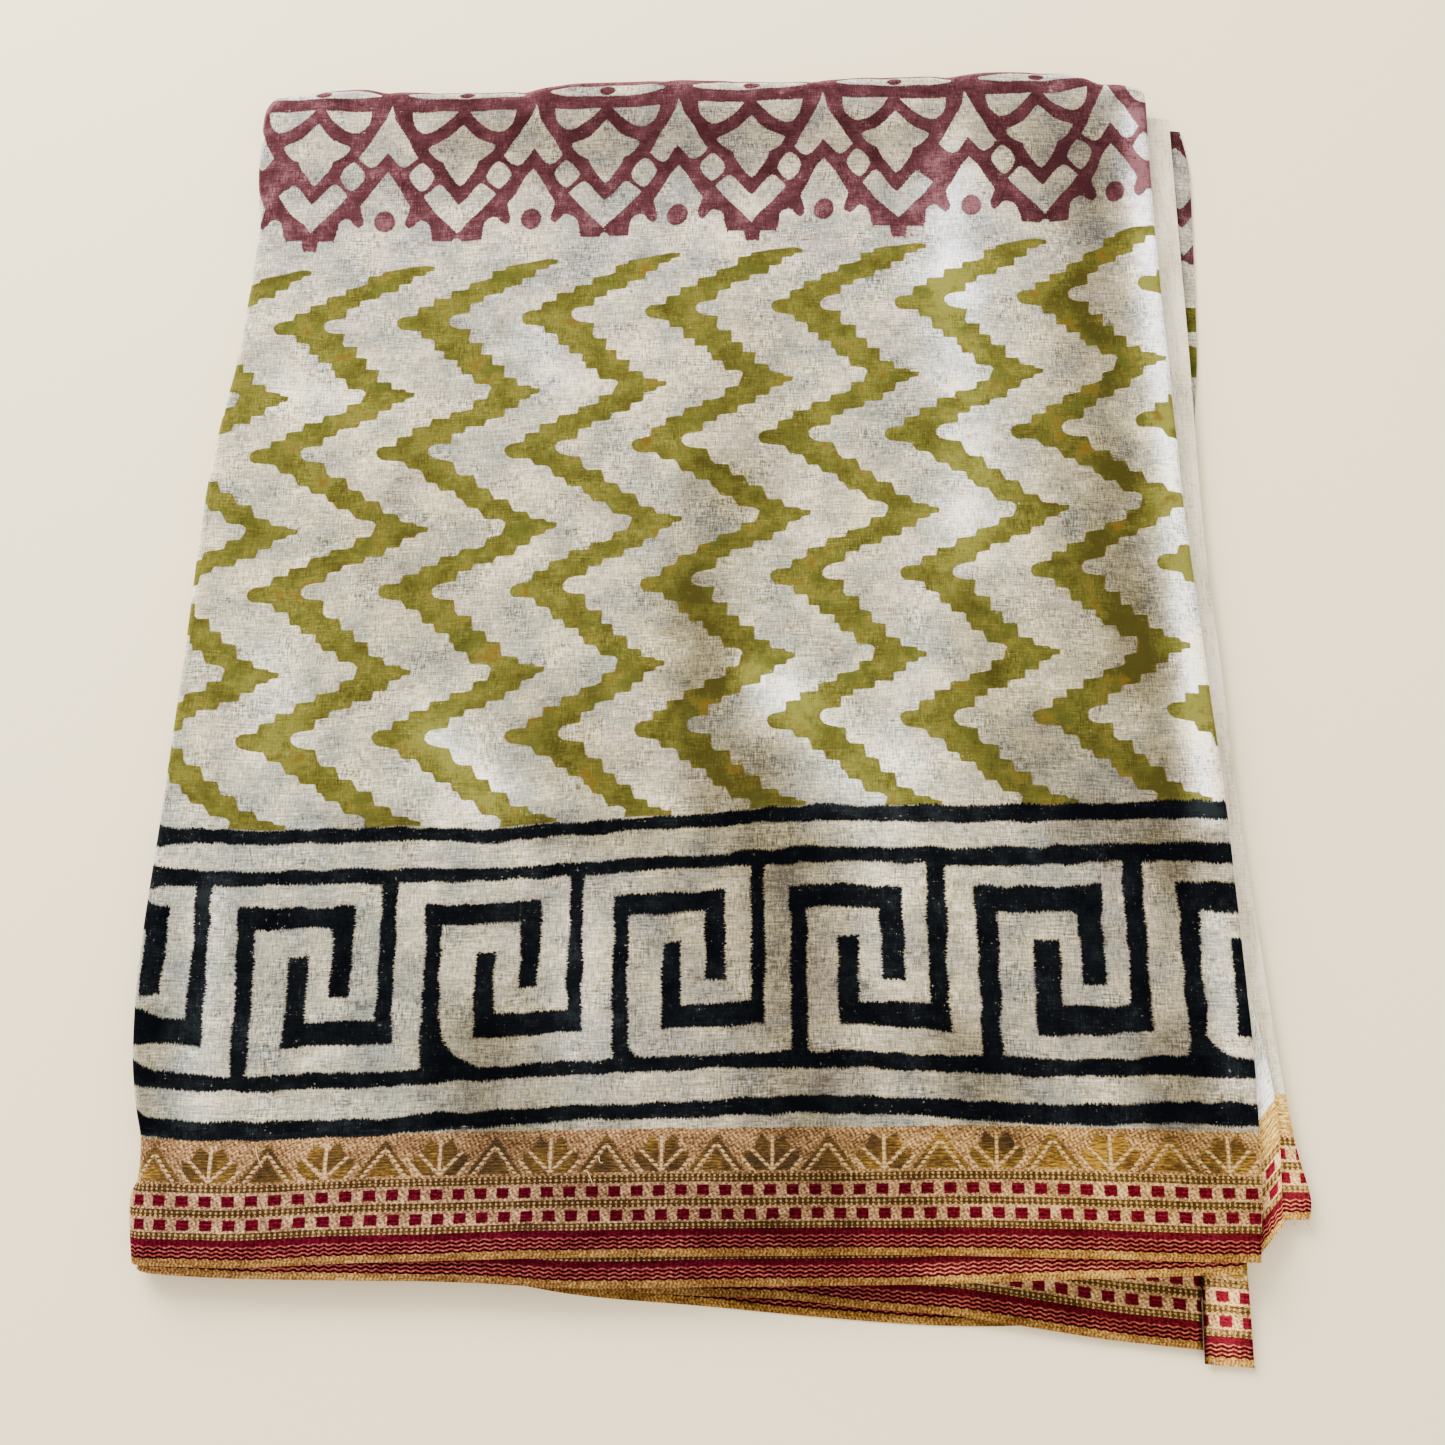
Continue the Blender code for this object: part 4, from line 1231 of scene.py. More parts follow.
def draw_zigzag(sketch, place):
    """Stepped zigzags: how deep a place lies in the ink, in mm."""
    across, up = sketch.split(place)
    sink = sketch.chart(across, ZIGZAG_SINK)
    height = ZIGZAG_FAR_END - ZIGZAG_NEAR_END
    share = sketch.math("MAXIMUM", (up - ZIGZAG_NEAR_END) / height, 0.0)
    up = up + sink * share * share
    left_half = sketch.ramp(across, *ZIGZAG_LEFT_HALF)
    across = across - sketch.chart(up, ZIGZAG_STRAY) - sketch.chart(up, ZIGZAG_LEFT_STRAY) * left_half
    rise = sketch.math("FLOORED_MODULO", up - ZIGZAG_ROW_START, ZIGZAG_ROW_REPEAT)
    left, right = sketch.chart(rise, ZIGZAG_LEFT), sketch.chart(rise, ZIGZAG_RIGHT)
    first = sketch.math("FLOORED_MODULO", across - ZIGZAG_LEFT_TIP, ZIGZAG_REPEAT) + ZIGZAG_LEFT_TIP
    second = first + ZIGZAG_REPEAT
    depths = [sketch.least(at - left, right - at) for at in (first, second)]
    slant = sketch.wrap(across - ZIGZAG_END_START, ZIGZAG_REPEAT) * ZIGZAG_END_SLOPE
    far_end = ZIGZAG_FAR_END - ZIGZAG_END_SHORT
    ends = sketch.least(up - ZIGZAG_NEAR_END, slant + far_end - up)
    return [sketch.least(sketch.most(*depths), ends)]


def draw_lattice(sketch, place):
    """A lattice of hearts, stars and arches by the middle fold: how deep a place lies in the ink."""
    across, up = sketch.split(place)
    side = abs(sketch.wrap(across - LATTICE_START, LATTICE_REPEAT))
    level = up - LATTICE_DOTS

    def between(low, high):
        return sketch.least(level - sketch.chart(side, low), sketch.chart(side, high) - level)

    lens = sketch.least(level - sketch.chart(side, LENS_LOW), LATTICE_LENS_TOP - level)
    at, height, half_width, half_height = LATTICE_DIAMOND
    leans = sketch.math("POWER", abs(side - at) / half_width, DIAMOND_POWER)
    rises = sketch.math("POWER", abs(level - height) / half_height, DIAMOND_POWER)
    diamond = (1.0 - leans - rises) * half_width
    white = sketch.most(
        between(HEART_LOW, HEART_HIGH),
        between(STAR_LOW, STAR_HIGH),
        between(CHEVRON_LOW, CHEVRON_HIGH),
        between(ARCH_LOW, ARCH_HIGH),
        lens,
        diamond,
        level - sketch.chart(side, FOLD_GAP),
    )
    lobed = 0.0
    for middle, half in LOBED_CELLS:
        lobed = sketch.math("LESS_THAN", abs(across - middle), half) + lobed
    edge = sketch.chart(side, LATTICE_EDGE) - sketch.chart(side, LATTICE_LOBE) * lobed
    band = sketch.least(level - edge, white * -1.0)
    far_side = LATTICE_REPEAT / 2 - side
    radius, tallness = LATTICE_DOT
    marks = [radius - sketch.length(far_side, level * tallness)]
    for at, height, radius in LATTICE_BLOTS:
        marks.append(radius - sketch.length(across - at, up - height))
    radius, flatness = FOLD_DOT
    fold = MIDDLE_FOLD - up
    marks.append(radius - sketch.math("SQRT", side * side * flatness + fold * fold))
    return [sketch.most(band, *marks) + LATTICE_SPREAD]


def draw_cotton(sketch, place, tone, soft):
    """Unprinted cotton: grey-white, with patches of lighter, darker, warmer and cooler cloth, made lighter
    or darker by the painted shade and painted light in Soft.
    """
    patches, hues = sketch.noise(place, 0.05, 3.0, 0.6)
    broad, broad_hues = sketch.noise(sketch.move(place, (9.0, 70.0, 0.0)), 0.014, 2.0)
    hue, rose = sketch.split(hues)
    broad_hue, _ = sketch.split(broad_hues)
    level = tone + 0.5 + (patches - 0.5) * 0.95 + (broad - 0.5) * 0.6 + soft * 0.42
    result = sketch.shades(level, COTTON)
    warm = sketch.ramp(hue * 0.6 + broad_hue * 0.4 - soft * 0.12, 0.38, 0.62)
    tint = sketch.blend(warm, COTTON_COOL, COTTON_WARM)
    tint = sketch.blend(sketch.ramp(rose, 0.52, 0.66, 0.0, 0.8), tint, COTTON_ROSE)
    return [sketch.expose(sketch.tint(result, tint), soft * 0.78)]


def draw_print(sketch, place, cloth_place, tone, soft):
    """Cotton with its three block prints: a colour and a share of ink."""
    across, up = sketch.split(place)
    height = MIDDLE_FOLD - abs(up - MIDDLE_FOLD)
    folded = sketch.join(across, height)
    result = sketch.group(groups["cotton"], Place=cloth_place, Tone=tone, Soft=soft)["Colour"]
    hue = sketch.blend(sketch.chart(height, FIELD_WARMTH), FIELD_COOL, FIELD_WARM)
    greyer = sketch.ramp(across, *GREYER_ACROSS) * sketch.ramp(height, *GREYER_UP)
    hue = sketch.blend(greyer, hue, FIELD_GREY)
    result = sketch.tint(result, hue)
    pressed, hues = sketch.noise(cloth_place, 0.065, 3.0, 0.65)
    browner, greener = sketch.split(hues)
    worn = sketch.grain(cloth_place, 0.5, 0.5, 3.0, 0.7)
    # Soft darkens or lightens the ink as painted shade and painted light
    ink_tone = tone * 0.75 + soft * 0.72 + (pressed - 0.5) * 1.7 + 0.5
    inked = 0.0
    for name, shades, amount in PRINTS:
        ragged = sketch.group(groups["ragged"], Place=folded, Amount=amount)["Place"]
        depth = sketch.group(groups[name], Place=ragged)["Depth"] + tone * (0.6 + amount * 0.6)
        share = sketch.ramp(depth, -INK_EDGE, INK_EDGE)
        bare = sketch.ramp(worn + tone * 0.25, 0.66, 0.80)
        share = share * (1.0 - bare * sketch.ramp(depth, 5.0, 0.0, 0.2, 0.75))
        rim = sketch.ramp(depth, 1.4, 0.1)
        ink = sketch.shades(ink_tone - rim * 0.1, shades)
        if name == "zigzag":
            brown = sketch.most(rim * sketch.ramp(worn, 0.45, 0.58) * 0.7, sketch.ramp(browner, 0.56, 0.70))
            ink = sketch.blend(sketch.ramp(greener, 0.54, 0.68, 0.0, 0.6), ink, OLIVE_GREEN + (1.0,))
            ink = sketch.blend(brown * 0.75, ink, OLIVE_BROWN + (1.0,))
        result = sketch.blend(share, result, ink)
        inked = sketch.most(share, inked)
    return [result, inked]


def border_bands(sketch, at, shade):
    """The reflectance and the kind of the border's bands, in their dark, middling or light shade."""
    node = sketch.node("ShaderNodeValToRGB", {"Fac": at})
    bands = node.color_ramp
    bands.interpolation = "CONSTANT"
    for _ in BORDER_BANDS[2:]:
        bands.elements.new(0.5)
    for element, (start, kind, reflectances) in zip(bands.elements, BORDER_BANDS):
        element.position = start / BORDER_WIDTH * MM
        element.color = reflectances[shade] + (kind / KINDS,)
    return Value(sketch, node.outputs[0]), Value(sketch, node.outputs[1]) * float(KINDS)


def above(line, run, rise):
    """How far a place lies above a slanting line, given as (slope, rise where the run is 0)."""
    slope, start = line
    return (rise - run * slope - start) * (1 / math.hypot(1, slope))


def gold_depth(sketch, across, rise):
    """How deep a place lies in the gold of a triangle or a leaf, in mm."""
    side = abs(sketch.wrap(across - MOTIF_START, MOTIF_REPEAT))
    fan = MOTIF_REPEAT / 2 - side
    slopes = [
        (half - side) - rise * (half / top)
        for half, top in (TRIANGLE_OUTER, TRIANGLE_GAP, TRIANGLE_INNER)
    ]
    triangle = sketch.most(sketch.least(slopes[0], slopes[1] * -1.0), slopes[2])
    leaf = sketch.least(
        above(LEAF_BELOW, fan, rise),
        *(above(line, fan, rise) * -1.0 for line in LEAF_ABOVE),
        fan - LEAF_HALF_GAP,
    )
    low_leaf = sketch.least(
        above(LOW_LEAF_BELOW, fan, rise),
        above(LOW_LEAF_ABOVE, fan, rise) * -1.0,
        LOW_LEAF_END - fan,
        LOW_LEAF_TOP - rise,
    )
    return sketch.least(sketch.most(triangle, leaf, low_leaf), rise, MOTIF_TOP - rise)


def stitch_mask(sketch, across, rise):
    """The light stitches: rows beside the leaves and the triangles, and a stem in each fan."""
    side = abs(sketch.wrap(across - MOTIF_START, MOTIF_REPEAT))
    fan = MOTIF_REPEAT / 2 - side
    rows = [
        sketch.most(abs(above((slope, start), run, rise)), rise - top)
        for (slope, start, top), run in zip(STITCH_ROWS, (fan, fan, side))
    ]
    stitch = sketch.wave(rise, STITCH_REPEAT)
    dots = sketch.ramp(sketch.least(*rows), 0.85, 0.4) * sketch.ramp(stitch, -0.6, 0.2)
    stem = sketch.ramp(fan, 0.85, 0.45) * sketch.ramp(stitch, -1.2, -0.2)
    within = sketch.ramp(rise, -0.3, 0.6) * sketch.ramp(rise, *STITCH_END)
    return sketch.most(dots, stem) * within


def draw_border(sketch, place, tone, soft, crushed):
    """The woven border: bands, two rows of squares, and triangles between fans of leaves.

    Where it is crushed, crinkled gold takes the place of the triangles and leaves.
    """
    across, up = sketch.split(place)
    up = up * sketch.ramp(across, *TALLER_FROM_TO, 1.0, BORDER_STRETCH)
    jag = sketch.grain(place, 0.9, 0.3, 2.0, 0.6)
    drift, _ = sketch.noise(place, 0.02, 1.0)
    first, last = STRIPES
    stripes = sketch.ramp(up, *first) * sketch.ramp(up, *last)
    level = up + (drift - 0.5) * BAND_DRIFT + (jag - 0.5) * BAND_JAG
    repeat, rise, stray = STRIPE_WAVE
    waves = sketch.wave(across + drift * stray, repeat) * rise * stripes
    wavy = (level + waves) * (MM / BORDER_WIDTH)
    dark, kind = border_bands(sketch, wavy, 0)
    middling, _ = border_bands(sketch, wavy, 1)
    light, _ = border_bands(sketch, wavy, 2)
    is_plain, is_cord, is_ground, is_selvedge = (
        sketch.math("COMPARE", kind, float(k + 1), 0.3) for k in range(KINDS)
    )
    speck = sketch.grain(place, 0.6, 0.9, 2.0, 0.7)
    slow = sketch.grain(place, 0.05, 0.12)
    glow = sketch.grain(place, 0.035, 0.05, 1.0)
    twill = sketch.wave(across + up * TWILL_SLANT, TWILL_REPEAT)
    rows = sketch.wave(up, ROW_REPEAT)
    fleck = sketch.wave(across - up * 0.55, 2.1) * sketch.wave(up + across * 0.2, 2.3)
    beads = sketch.ramp(sketch.wave(across + jag * 0.8, BEAD_REPEAT) + rows * 0.6, 0.1, 1.1)
    ribs = sketch.wave(across + sketch.wave(up, 2.6) * 0.35, RIB_REPEAT)
    ripple = sketch.wave(across, STRIPE_REPEAT)
    pattern = is_cord * (beads * 0.85 - 0.24) + is_plain * ripple * 0.10
    pattern = pattern + is_ground * (twill * 0.11 + fleck * 0.22) + is_selvedge * ribs * 0.18
    lit = sketch.ramp(across, *LIT_FROM_TO, 0.0, LIT)
    # Soft adds painted shade and painted light here, to the squares and gold below, and to the whole border
    # at the end
    pattern = pattern + (speck - 0.5) * 2.0 + (slow - 0.5) * 0.9 + tone * 0.5 + soft * 0.3 + lit + 0.46
    result = sketch.blend(pattern * 2.0, dark, middling)
    result = sketch.blend(pattern * 2.0 - 1.0, result, light)

    step_across, step_up = MOTIF_THREAD
    placed = across - sketch.chart(across, MOTIF_STRAY)
    snapped = sketch.math("SNAP", placed + (jag - 0.5) * MOTIF_JAG, step_across) + step_across / 2
    squares = []
    for row, shift in SQUARE_ROWS:
        sideways = abs(sketch.wrap(placed - (SQUARE_START + shift), SQUARE_REPEAT))
        squares.append(sketch.least(SQUARE_HALF[0] - sideways, SQUARE_HALF[1] - abs(level - row)))
    square_depth = sketch.most(*squares) + (jag - 0.5) * SQUARE_JAG
    square = sketch.ramp(square_depth, -0.3, 0.25)
    red = sketch.shades(0.5 + (speck - 0.5) * 2.4 + rows * 0.16 + soft * 0.4 + lit, SQUARE_RED)
    result = sketch.blend(square, result, red)

    plain_rise = level - MOTIF_BASE
    rise = sketch.math("SNAP", plain_rise, step_up) + step_up / 2
    depth = gold_depth(sketch, snapped, rise)
    gold = sketch.ramp(depth, -0.15, 0.2)
    floats = sketch.wave(up, step_up * 2)
    gloss = sketch.grain(place, 0.3, 1.2, 2.0, 0.7)
    gold_tone = 0.44 + (gloss - 0.5) * 2.0 + floats * 0.10 + (slow - 0.5) * 0.8 + (glow - 0.5) * 1.2
    gold_tone = gold_tone + soft * 0.5 + lit * 4.0
    shadow = sketch.ramp(abs(depth + 0.2), 0.9, 0.3) * sketch.ramp(rise, -0.3, 0.3)
    result = sketch.blend(shadow * 0.34, result, GROUND[0] + (1.0,))
    result = sketch.blend(gold, result, sketch.shades(gold_tone, GOLD))
    crinkle = sketch.grain(place, 0.22, 0.9, 3.0, 0.7)
    lost = crushed * sketch.ramp(plain_rise, -0.3, 0.6)
    crinkled = sketch.shades(0.5 + (crinkle - 0.5) * 3.2 + (speck - 0.5) * 1.4, CRUSHED_GOLD)
    result = sketch.blend(lost * sketch.ramp(crinkle, 0.34, 0.44, 0.5, 0.95), result, crinkled)
    stitches = stitch_mask(sketch, placed, plain_rise) * (1.0 - crushed * 0.8)
    result = sketch.blend(stitches * 0.85, result, THREAD_CREAM + (1.0,))
    sunny = sketch.blend(sketch.ramp(across, *SUNNY_FROM_TO), WHITE, BORDER_SUNNY)
    result = sketch.expose(sketch.tint(result, sunny), soft * 1.1)
    relief = pattern * 0.12 + gold * (0.10 + floats * 0.04) + square * 0.14 + stitches * 0.16
    relief = relief + lost * crinkle * 0.9
    return [result, relief, gold]


PLACE = ("Place", VECTOR, None)
TONE = ("Tone", FLOAT, 0.0)
# The Soft input carries painted shade and painted light
SOFT = ("Soft", FLOAT, 0.0)
OUT_COLOUR = ("Colour", COLOUR)
OUT_DEPTH = ("Depth", FLOAT)
# The node groups: (name, title, how it is drawn, inputs, outputs)
GROUPS = (
    ("ragged", "Ragged print", draw_ragged, [PLACE, ("Amount", FLOAT, 1.0)], [("Place", VECTOR)]),
    ("weave", "Plain weave", draw_weave, [PLACE], [("Tone", FLOAT), ("Height", FLOAT)]),
    ("cotton", "Plain cotton", draw_cotton, [PLACE, TONE, SOFT], [OUT_COLOUR]),
    ("black", "Hooked black band", draw_black, [PLACE], [OUT_DEPTH]),
    ("zigzag", "Stepped zigzag", draw_zigzag, [PLACE], [OUT_DEPTH]),
    ("lattice", "Maroon lattice", draw_lattice, [PLACE], [OUT_DEPTH]),
    (
        "print", "Printed cotton", draw_print,
        [PLACE, ("Cloth place", VECTOR, None), TONE, SOFT], [OUT_COLOUR, ("Ink", FLOAT)],
    ),
    (
        "border", "Woven border", draw_border,
        [PLACE, TONE, SOFT, ("Crushed", FLOAT, 0.0)], [OUT_COLOUR, ("Relief", FLOAT), ("Gold", FLOAT)],
    ),
)
groups = {}


def make_groups():
    for name, title, draw, inputs, outputs in GROUPS:
        groups[name] = make_group(title, inputs, outputs, draw)


class Cloth:
    """One cloth material: its nodes, its shader, the places on its maps and its weave."""

    def __init__(self, name):
        self.material = bpy.data.materials.new(name)
        self.material.use_nodes = True
        self.sketch = sketch = Sketch(self.material.node_tree)
        sketch.tree.nodes.clear()
        self.shader = sketch.node(
            "ShaderNodeBsdfPrincipled",
            {"Roughness": ROUGHNESS, "Specular IOR Level": 0.0, "Sheen Roughness": 0.5},
        )
        surface = Value(sketch, self.shader.outputs[0])
        sketch.node("ShaderNodeOutputMaterial", {"Surface": surface})
        self.place, self.printed = self.map("cloth", 1 / MM), self.map("print", 1 / MM)
        self.across, self.up = sketch.split(self.place)
        self.folded = sketch.join(self.across, MIDDLE_FOLD - abs(self.up - MIDDLE_FOLD))
        self.weave = sketch.group(groups["weave"], Place=self.place)
        # Soft: the painted shade and light of the tone map, with painted sheen where the cloth turns away
        # from view
        facing = Value(sketch, sketch.node("ShaderNodeLayerWeight", {"Blend": 0.5}).outputs["Facing"])
        tone, _ = sketch.split(self.map("tone", 1.0))
        self.soft = tone + sketch.ramp(facing, *PAINTED_SHEEN_FROM_TO, 0.0, PAINTED_SHEEN)

    def map(self, name, scale):
        node = self.sketch.node("ShaderNodeUVMap", uv_map=name)
        return self.sketch.scale(Value(self.sketch, node.outputs[0]), scale)

    def use(self, name, **inputs):
        """One of the groups, with this cloth's weave tone and its painted shade and light unless told
        another.
        """
        given = {"Tone": self.weave["Tone"], "Soft": self.soft, **inputs}
        return self.sketch.group(groups[name], **given)

    def print_colour(self):
        made = self.use("print", Place=self.printed, Cloth_place=self.place)
        return made["Colour"], made["Ink"]

    def border(self, crushed=0.0):
        return self.use("border", Place=self.folded, Crushed=crushed)

    def above_border(self, border, above):
        """A colour and a height for cloth that shows its border and, above it, another colour."""
        _, up = self.sketch.split(self.folded)
        on_border = self.sketch.ramp(up, BORDER_END + 0.5, BORDER_END - 0.5)
        colour = self.sketch.blend(on_border, above, border["Colour"])
        return colour, self.weave["Height"] + border["Relief"] * on_border

    def finish(self, colour, height, **inputs):
        """Feeds the shader; the height is in mm."""
        self.sketch.feed(self.shader.inputs["Base Color"], colour)
        for name, value in inputs.items():
            self.sketch.feed(self.shader.inputs[name.replace("_", " ")], value)
        bump = self.sketch.node("ShaderNodeBump", {"Height": height, "Distance": MM, "Strength": 1.0})
        self.sketch.feed(self.shader.inputs["Normal"], Value(self.sketch, bump.outputs[0]))
        return self.material


def make_printed_cotton():
    cloth = Cloth("printed cotton")
    colour, ink = cloth.print_colour()
    return cloth.finish(colour, cloth.weave["Height"], Sheen_Weight=SHEEN - ink * SHEEN)


def make_woven_border(name, crushed=0.0):
    """The border with the edge of the plain cotton, and of the lowest black line, across its top."""
    cloth = Cloth(name)
    sketch = cloth.sketch
    border = cloth.border(crushed)
    _, up = sketch.split(cloth.folded)
    ragged = sketch.group(groups["ragged"], Place=cloth.printed, Amount=1.0)["Place"]
    across, print_up = sketch.split(ragged)
    level, half = BLACK_LINES[0]
    spread = sketch.chart(across, BLACK_SPREAD)
    depth = half + spread - abs(print_up - level) + cloth.weave["Tone"]
    ink = sketch.ramp(depth, -INK_EDGE, INK_EDGE)
    end = up - sketch.ramp(cloth.across, *TALLER_FROM_TO, 0.0, BORDER_END_RISE)
    cotton = sketch.ramp(end + cloth.weave["Tone"], BORDER_END - 0.6, BORDER_END + 0.4)
    plain = cloth.use("cotton", Place=cloth.place)["Colour"]
    result = sketch.blend(cotton, border["Colour"], plain)
    result = sketch.blend(ink, result, sketch.shades(0.5 + cloth.weave["Tone"], BLACK))
    gold = border["Gold"] * (1.0 - cotton)
    height = border["Relief"] + cloth.weave["Height"]
    return cloth.finish(result, height, Roughness=0.9 - gold * 0.3, Specular_IOR_Level=gold * 0.12)


def make_layered_cloth():
    """Cloth of the layers between, which show both their border and their print."""
    cloth = Cloth("layered cloth")
    colour, height = cloth.above_border(cloth.border(), cloth.print_colour()[0])
    return cloth.finish(cloth.sketch.tint(colour, LAYER_SHADE), height)


def make_plain_fold():
    """The turned edge of the second fold: plain cotton above a crushed border."""
    cloth = Cloth("plain fold")
    # Painted light: Soft is raised by 0.2, so the fold's plain cotton is painted lighter
    plain = cloth.use("cotton", Place=cloth.place, Soft=cloth.soft + 0.2)["Colour"]
    return cloth.finish(*cloth.above_border(cloth.border(1.0), plain))


def make_plain_cotton():
    """The unprinted end of the cloth, faintly stained."""
    cloth = Cloth("plain cotton")
    sketch = cloth.sketch
    stain = sketch.grain(cloth.place, 0.09, 0.022, 3.0, 0.6)
    streak = sketch.grain(cloth.place, 0.9, 0.03, 2.0, 0.6)
    # The tone takes in the painted sheen where the cloth turns away from view
    tone = cloth.weave["Tone"] * 0.8 + (stain - 0.5) * 1.4 + (streak - 0.5) * 0.7 + cloth.soft + 0.48
    return cloth.finish(sketch.shades(tone, CREAM), cloth.weave["Height"], Sheen_Weight=SHEEN)


def make_matt(name, roughness, scale, reflectances):
    """A matt material that drifts between its shades from place to place."""
    material = bpy.data.materials.new(name)
    material.use_nodes = True
    sketch = Sketch(material.node_tree)
    shader = material.node_tree.nodes["Principled BSDF"]
    shader.inputs["Roughness"].default_value = roughness
    shader.inputs["Specular IOR Level"].default_value = 0.0
    place = Value(sketch, sketch.node("ShaderNodeTexCoord").outputs["Object"])
    tone, _ = sketch.noise(place, scale, 2.0)
    sketch.feed(shader.inputs["Base Color"], sketch.shades(tone, reflectances))
    return material


def measure_cloth(points, reference, start, rightward):
    """How far each point lies along the cloth and up from the selvedge, over its folds."""
    steps = np.linalg.norm(np.diff(points, axis=1), axis=-1)
    run = np.concatenate([np.zeros((len(points), 1)), np.cumsum(steps, axis=1)], axis=1)
    climb = np.linalg.norm(np.diff(points, axis=0), axis=-1)
    up = np.concatenate([np.zeros((1, points.shape[1])), np.cumsum(climb, axis=0)], axis=0)
    across = points[:, reference, 0][:, None] + rightward * (run - run[:, reference][:, None])
    return across, start + up


def print_place(across, up):
    """Where the prints lie on the cloth: they climb a little across it."""
    levels = [climb(across / MM) * MM for climb in climbs]
    level = levels[0]
    for k in range(1, len(levels)):
        low, high = CLIMB_LEVELS[k - 1:k + 1]
        level = mix(level, levels[k], np.clip((up / MM - low) / (high - low), 0, 1))
    return up - level


def lay_grid(name, points, maps, material):
    """A piece through a grid of points, with UV maps, each given as its places across and up."""
    rows, columns = points.shape[0] - 1, points.shape[1] - 1
    bpy.ops.object.select_all(action="DESELECT")
    bpy.ops.mesh.primitive_grid_add(x_subdivisions=columns, y_subdivisions=rows, size=1)
    piece = bpy.context.object
    mesh = piece.data
    piece.name = mesh.name = name
    flat = np.empty(3 * len(mesh.vertices))
    mesh.vertices.foreach_get("co", flat)
    flat = flat.reshape(-1, 3) + 0.5
    row, column = np.rint(flat[:, 1] * rows).astype(int), np.rint(flat[:, 0] * columns).astype(int)
    mesh.vertices.foreach_set("co", points[row, column].ravel())
    corner = np.empty(len(mesh.loops), dtype=np.int64)
    mesh.loops.foreach_get("vertex_index", corner)
    for layer in list(mesh.uv_layers):
        mesh.uv_layers.remove(layer)
    for title, (across, up) in maps.items():
        layer = mesh.uv_layers.new(name=title)
        places = np.stack([across[row, column], up[row, column]], -1)[corner]
        layer.data.foreach_set("uv", places.ravel())
    mesh.materials.append(material)
    return piece


def outward(points):
    """The direction that each point of a grid faces."""
    normal = np.cross(np.gradient(points, axis=1), np.gradient(points, axis=0))
    return normal / np.maximum(np.linalg.norm(normal, axis=-1, keepdims=True), 1e-12)


def make_sheet(name, place, columns, rows, material, start, shift, painted_shades):
    """A thin cloth laid through place(across, along), its outer face where the wall's outer face is."""
    across, along = np.meshgrid(columns, rows)
    points = np.stack(place(across, along), -1)
    reference = int(np.argmin(np.abs(columns - 1.0)))
    rightward = 1.0 if points[0, -1, 0] > points[0, 0, 0] or columns[-1] < columns[0] else -1.0
    u, v = measure_cloth(points, reference, start, rightward)
    u = u + shift
    points = points + outward(points) * WALL / 2
    # The sheet's painted shade and painted light, kept in its tone map
    soft = painted_shading(points[..., 0], points[..., 1], painted_shades)
    maps = {"cloth": (u, v), "print": (u, print_place(u, v)), "tone": (soft, 0 * soft)}
    piece = lay_grid(name, points, maps, material)
    thick = piece.modifiers.new("thickness", "SOLIDIFY")
    thick.thickness = THREAD
    thick.offset = -1.0
    bpy.ops.object.modifier_apply(modifier=thick.name)
    bpy.ops.object.shade_smooth_by_angle(angle=SMOOTH_ANGLE)
    return piece


def core_top(x, y):
    back = far_edge(x) - y
    run = FAR_SHOULDER * math.sin(SHOULDER_ANGLE) + FAR_TURN * (1 - math.sin(SHOULDER_ANGLE)) - back
    fall = FAR_SHOULDER - np.sqrt(FAR_SHOULDER ** 2 - np.clip(run, 0, FAR_SHOULDER) ** 2)
    return top_height(x, y) - fall - WALL / 2 - CORE_CLEAR


def core_ring(level, groove, shrink=0.0):
    """One outline of the hidden layers at a share of their height, from 0 below to 1 on top."""
    far = FAR_INSET_MIDDLE if MIDDLE_LEVELS[0] < level < MIDDLE_LEVELS[1] else FAR_INSET
    roundness = math.sqrt(1 - (LEFT_ROUNDNESS * (2 * level - 1)) ** 2)
    left = LEFT_ROLL * (1 - roundness) + LEFT_CLEAR + groove
    share = np.arange(CORE_SIDE_STEPS) / CORE_SIDE_STEPS
    inset = np.where(share == 0, max(shrink, CORE_CORNER_SHARE), shrink)
    p = np.concatenate([share, 0 * share + 1, 1 - share, 0 * share])
    q = np.concatenate([0 * share, share, 0 * share + 1, 1 - share])
    inset = np.tile(inset, 4)
    p, q = mix(inset, 1 - inset, p), mix(inset, 1 - inset, q)
    x = mix(left_side(0.0), right_side(0.0), p)
    for _ in range(SETTLE):
        y = mix(near_edge(x) + NEAR_INSET + groove, far_edge(x) - far - groove, q)
        x = mix(left_side(y) + left, right_side(y) - RIGHT_INSET - groove, p)
    return np.stack([x, y, mix(WALL + CLEAR, core_top(x, y), level)], -1)


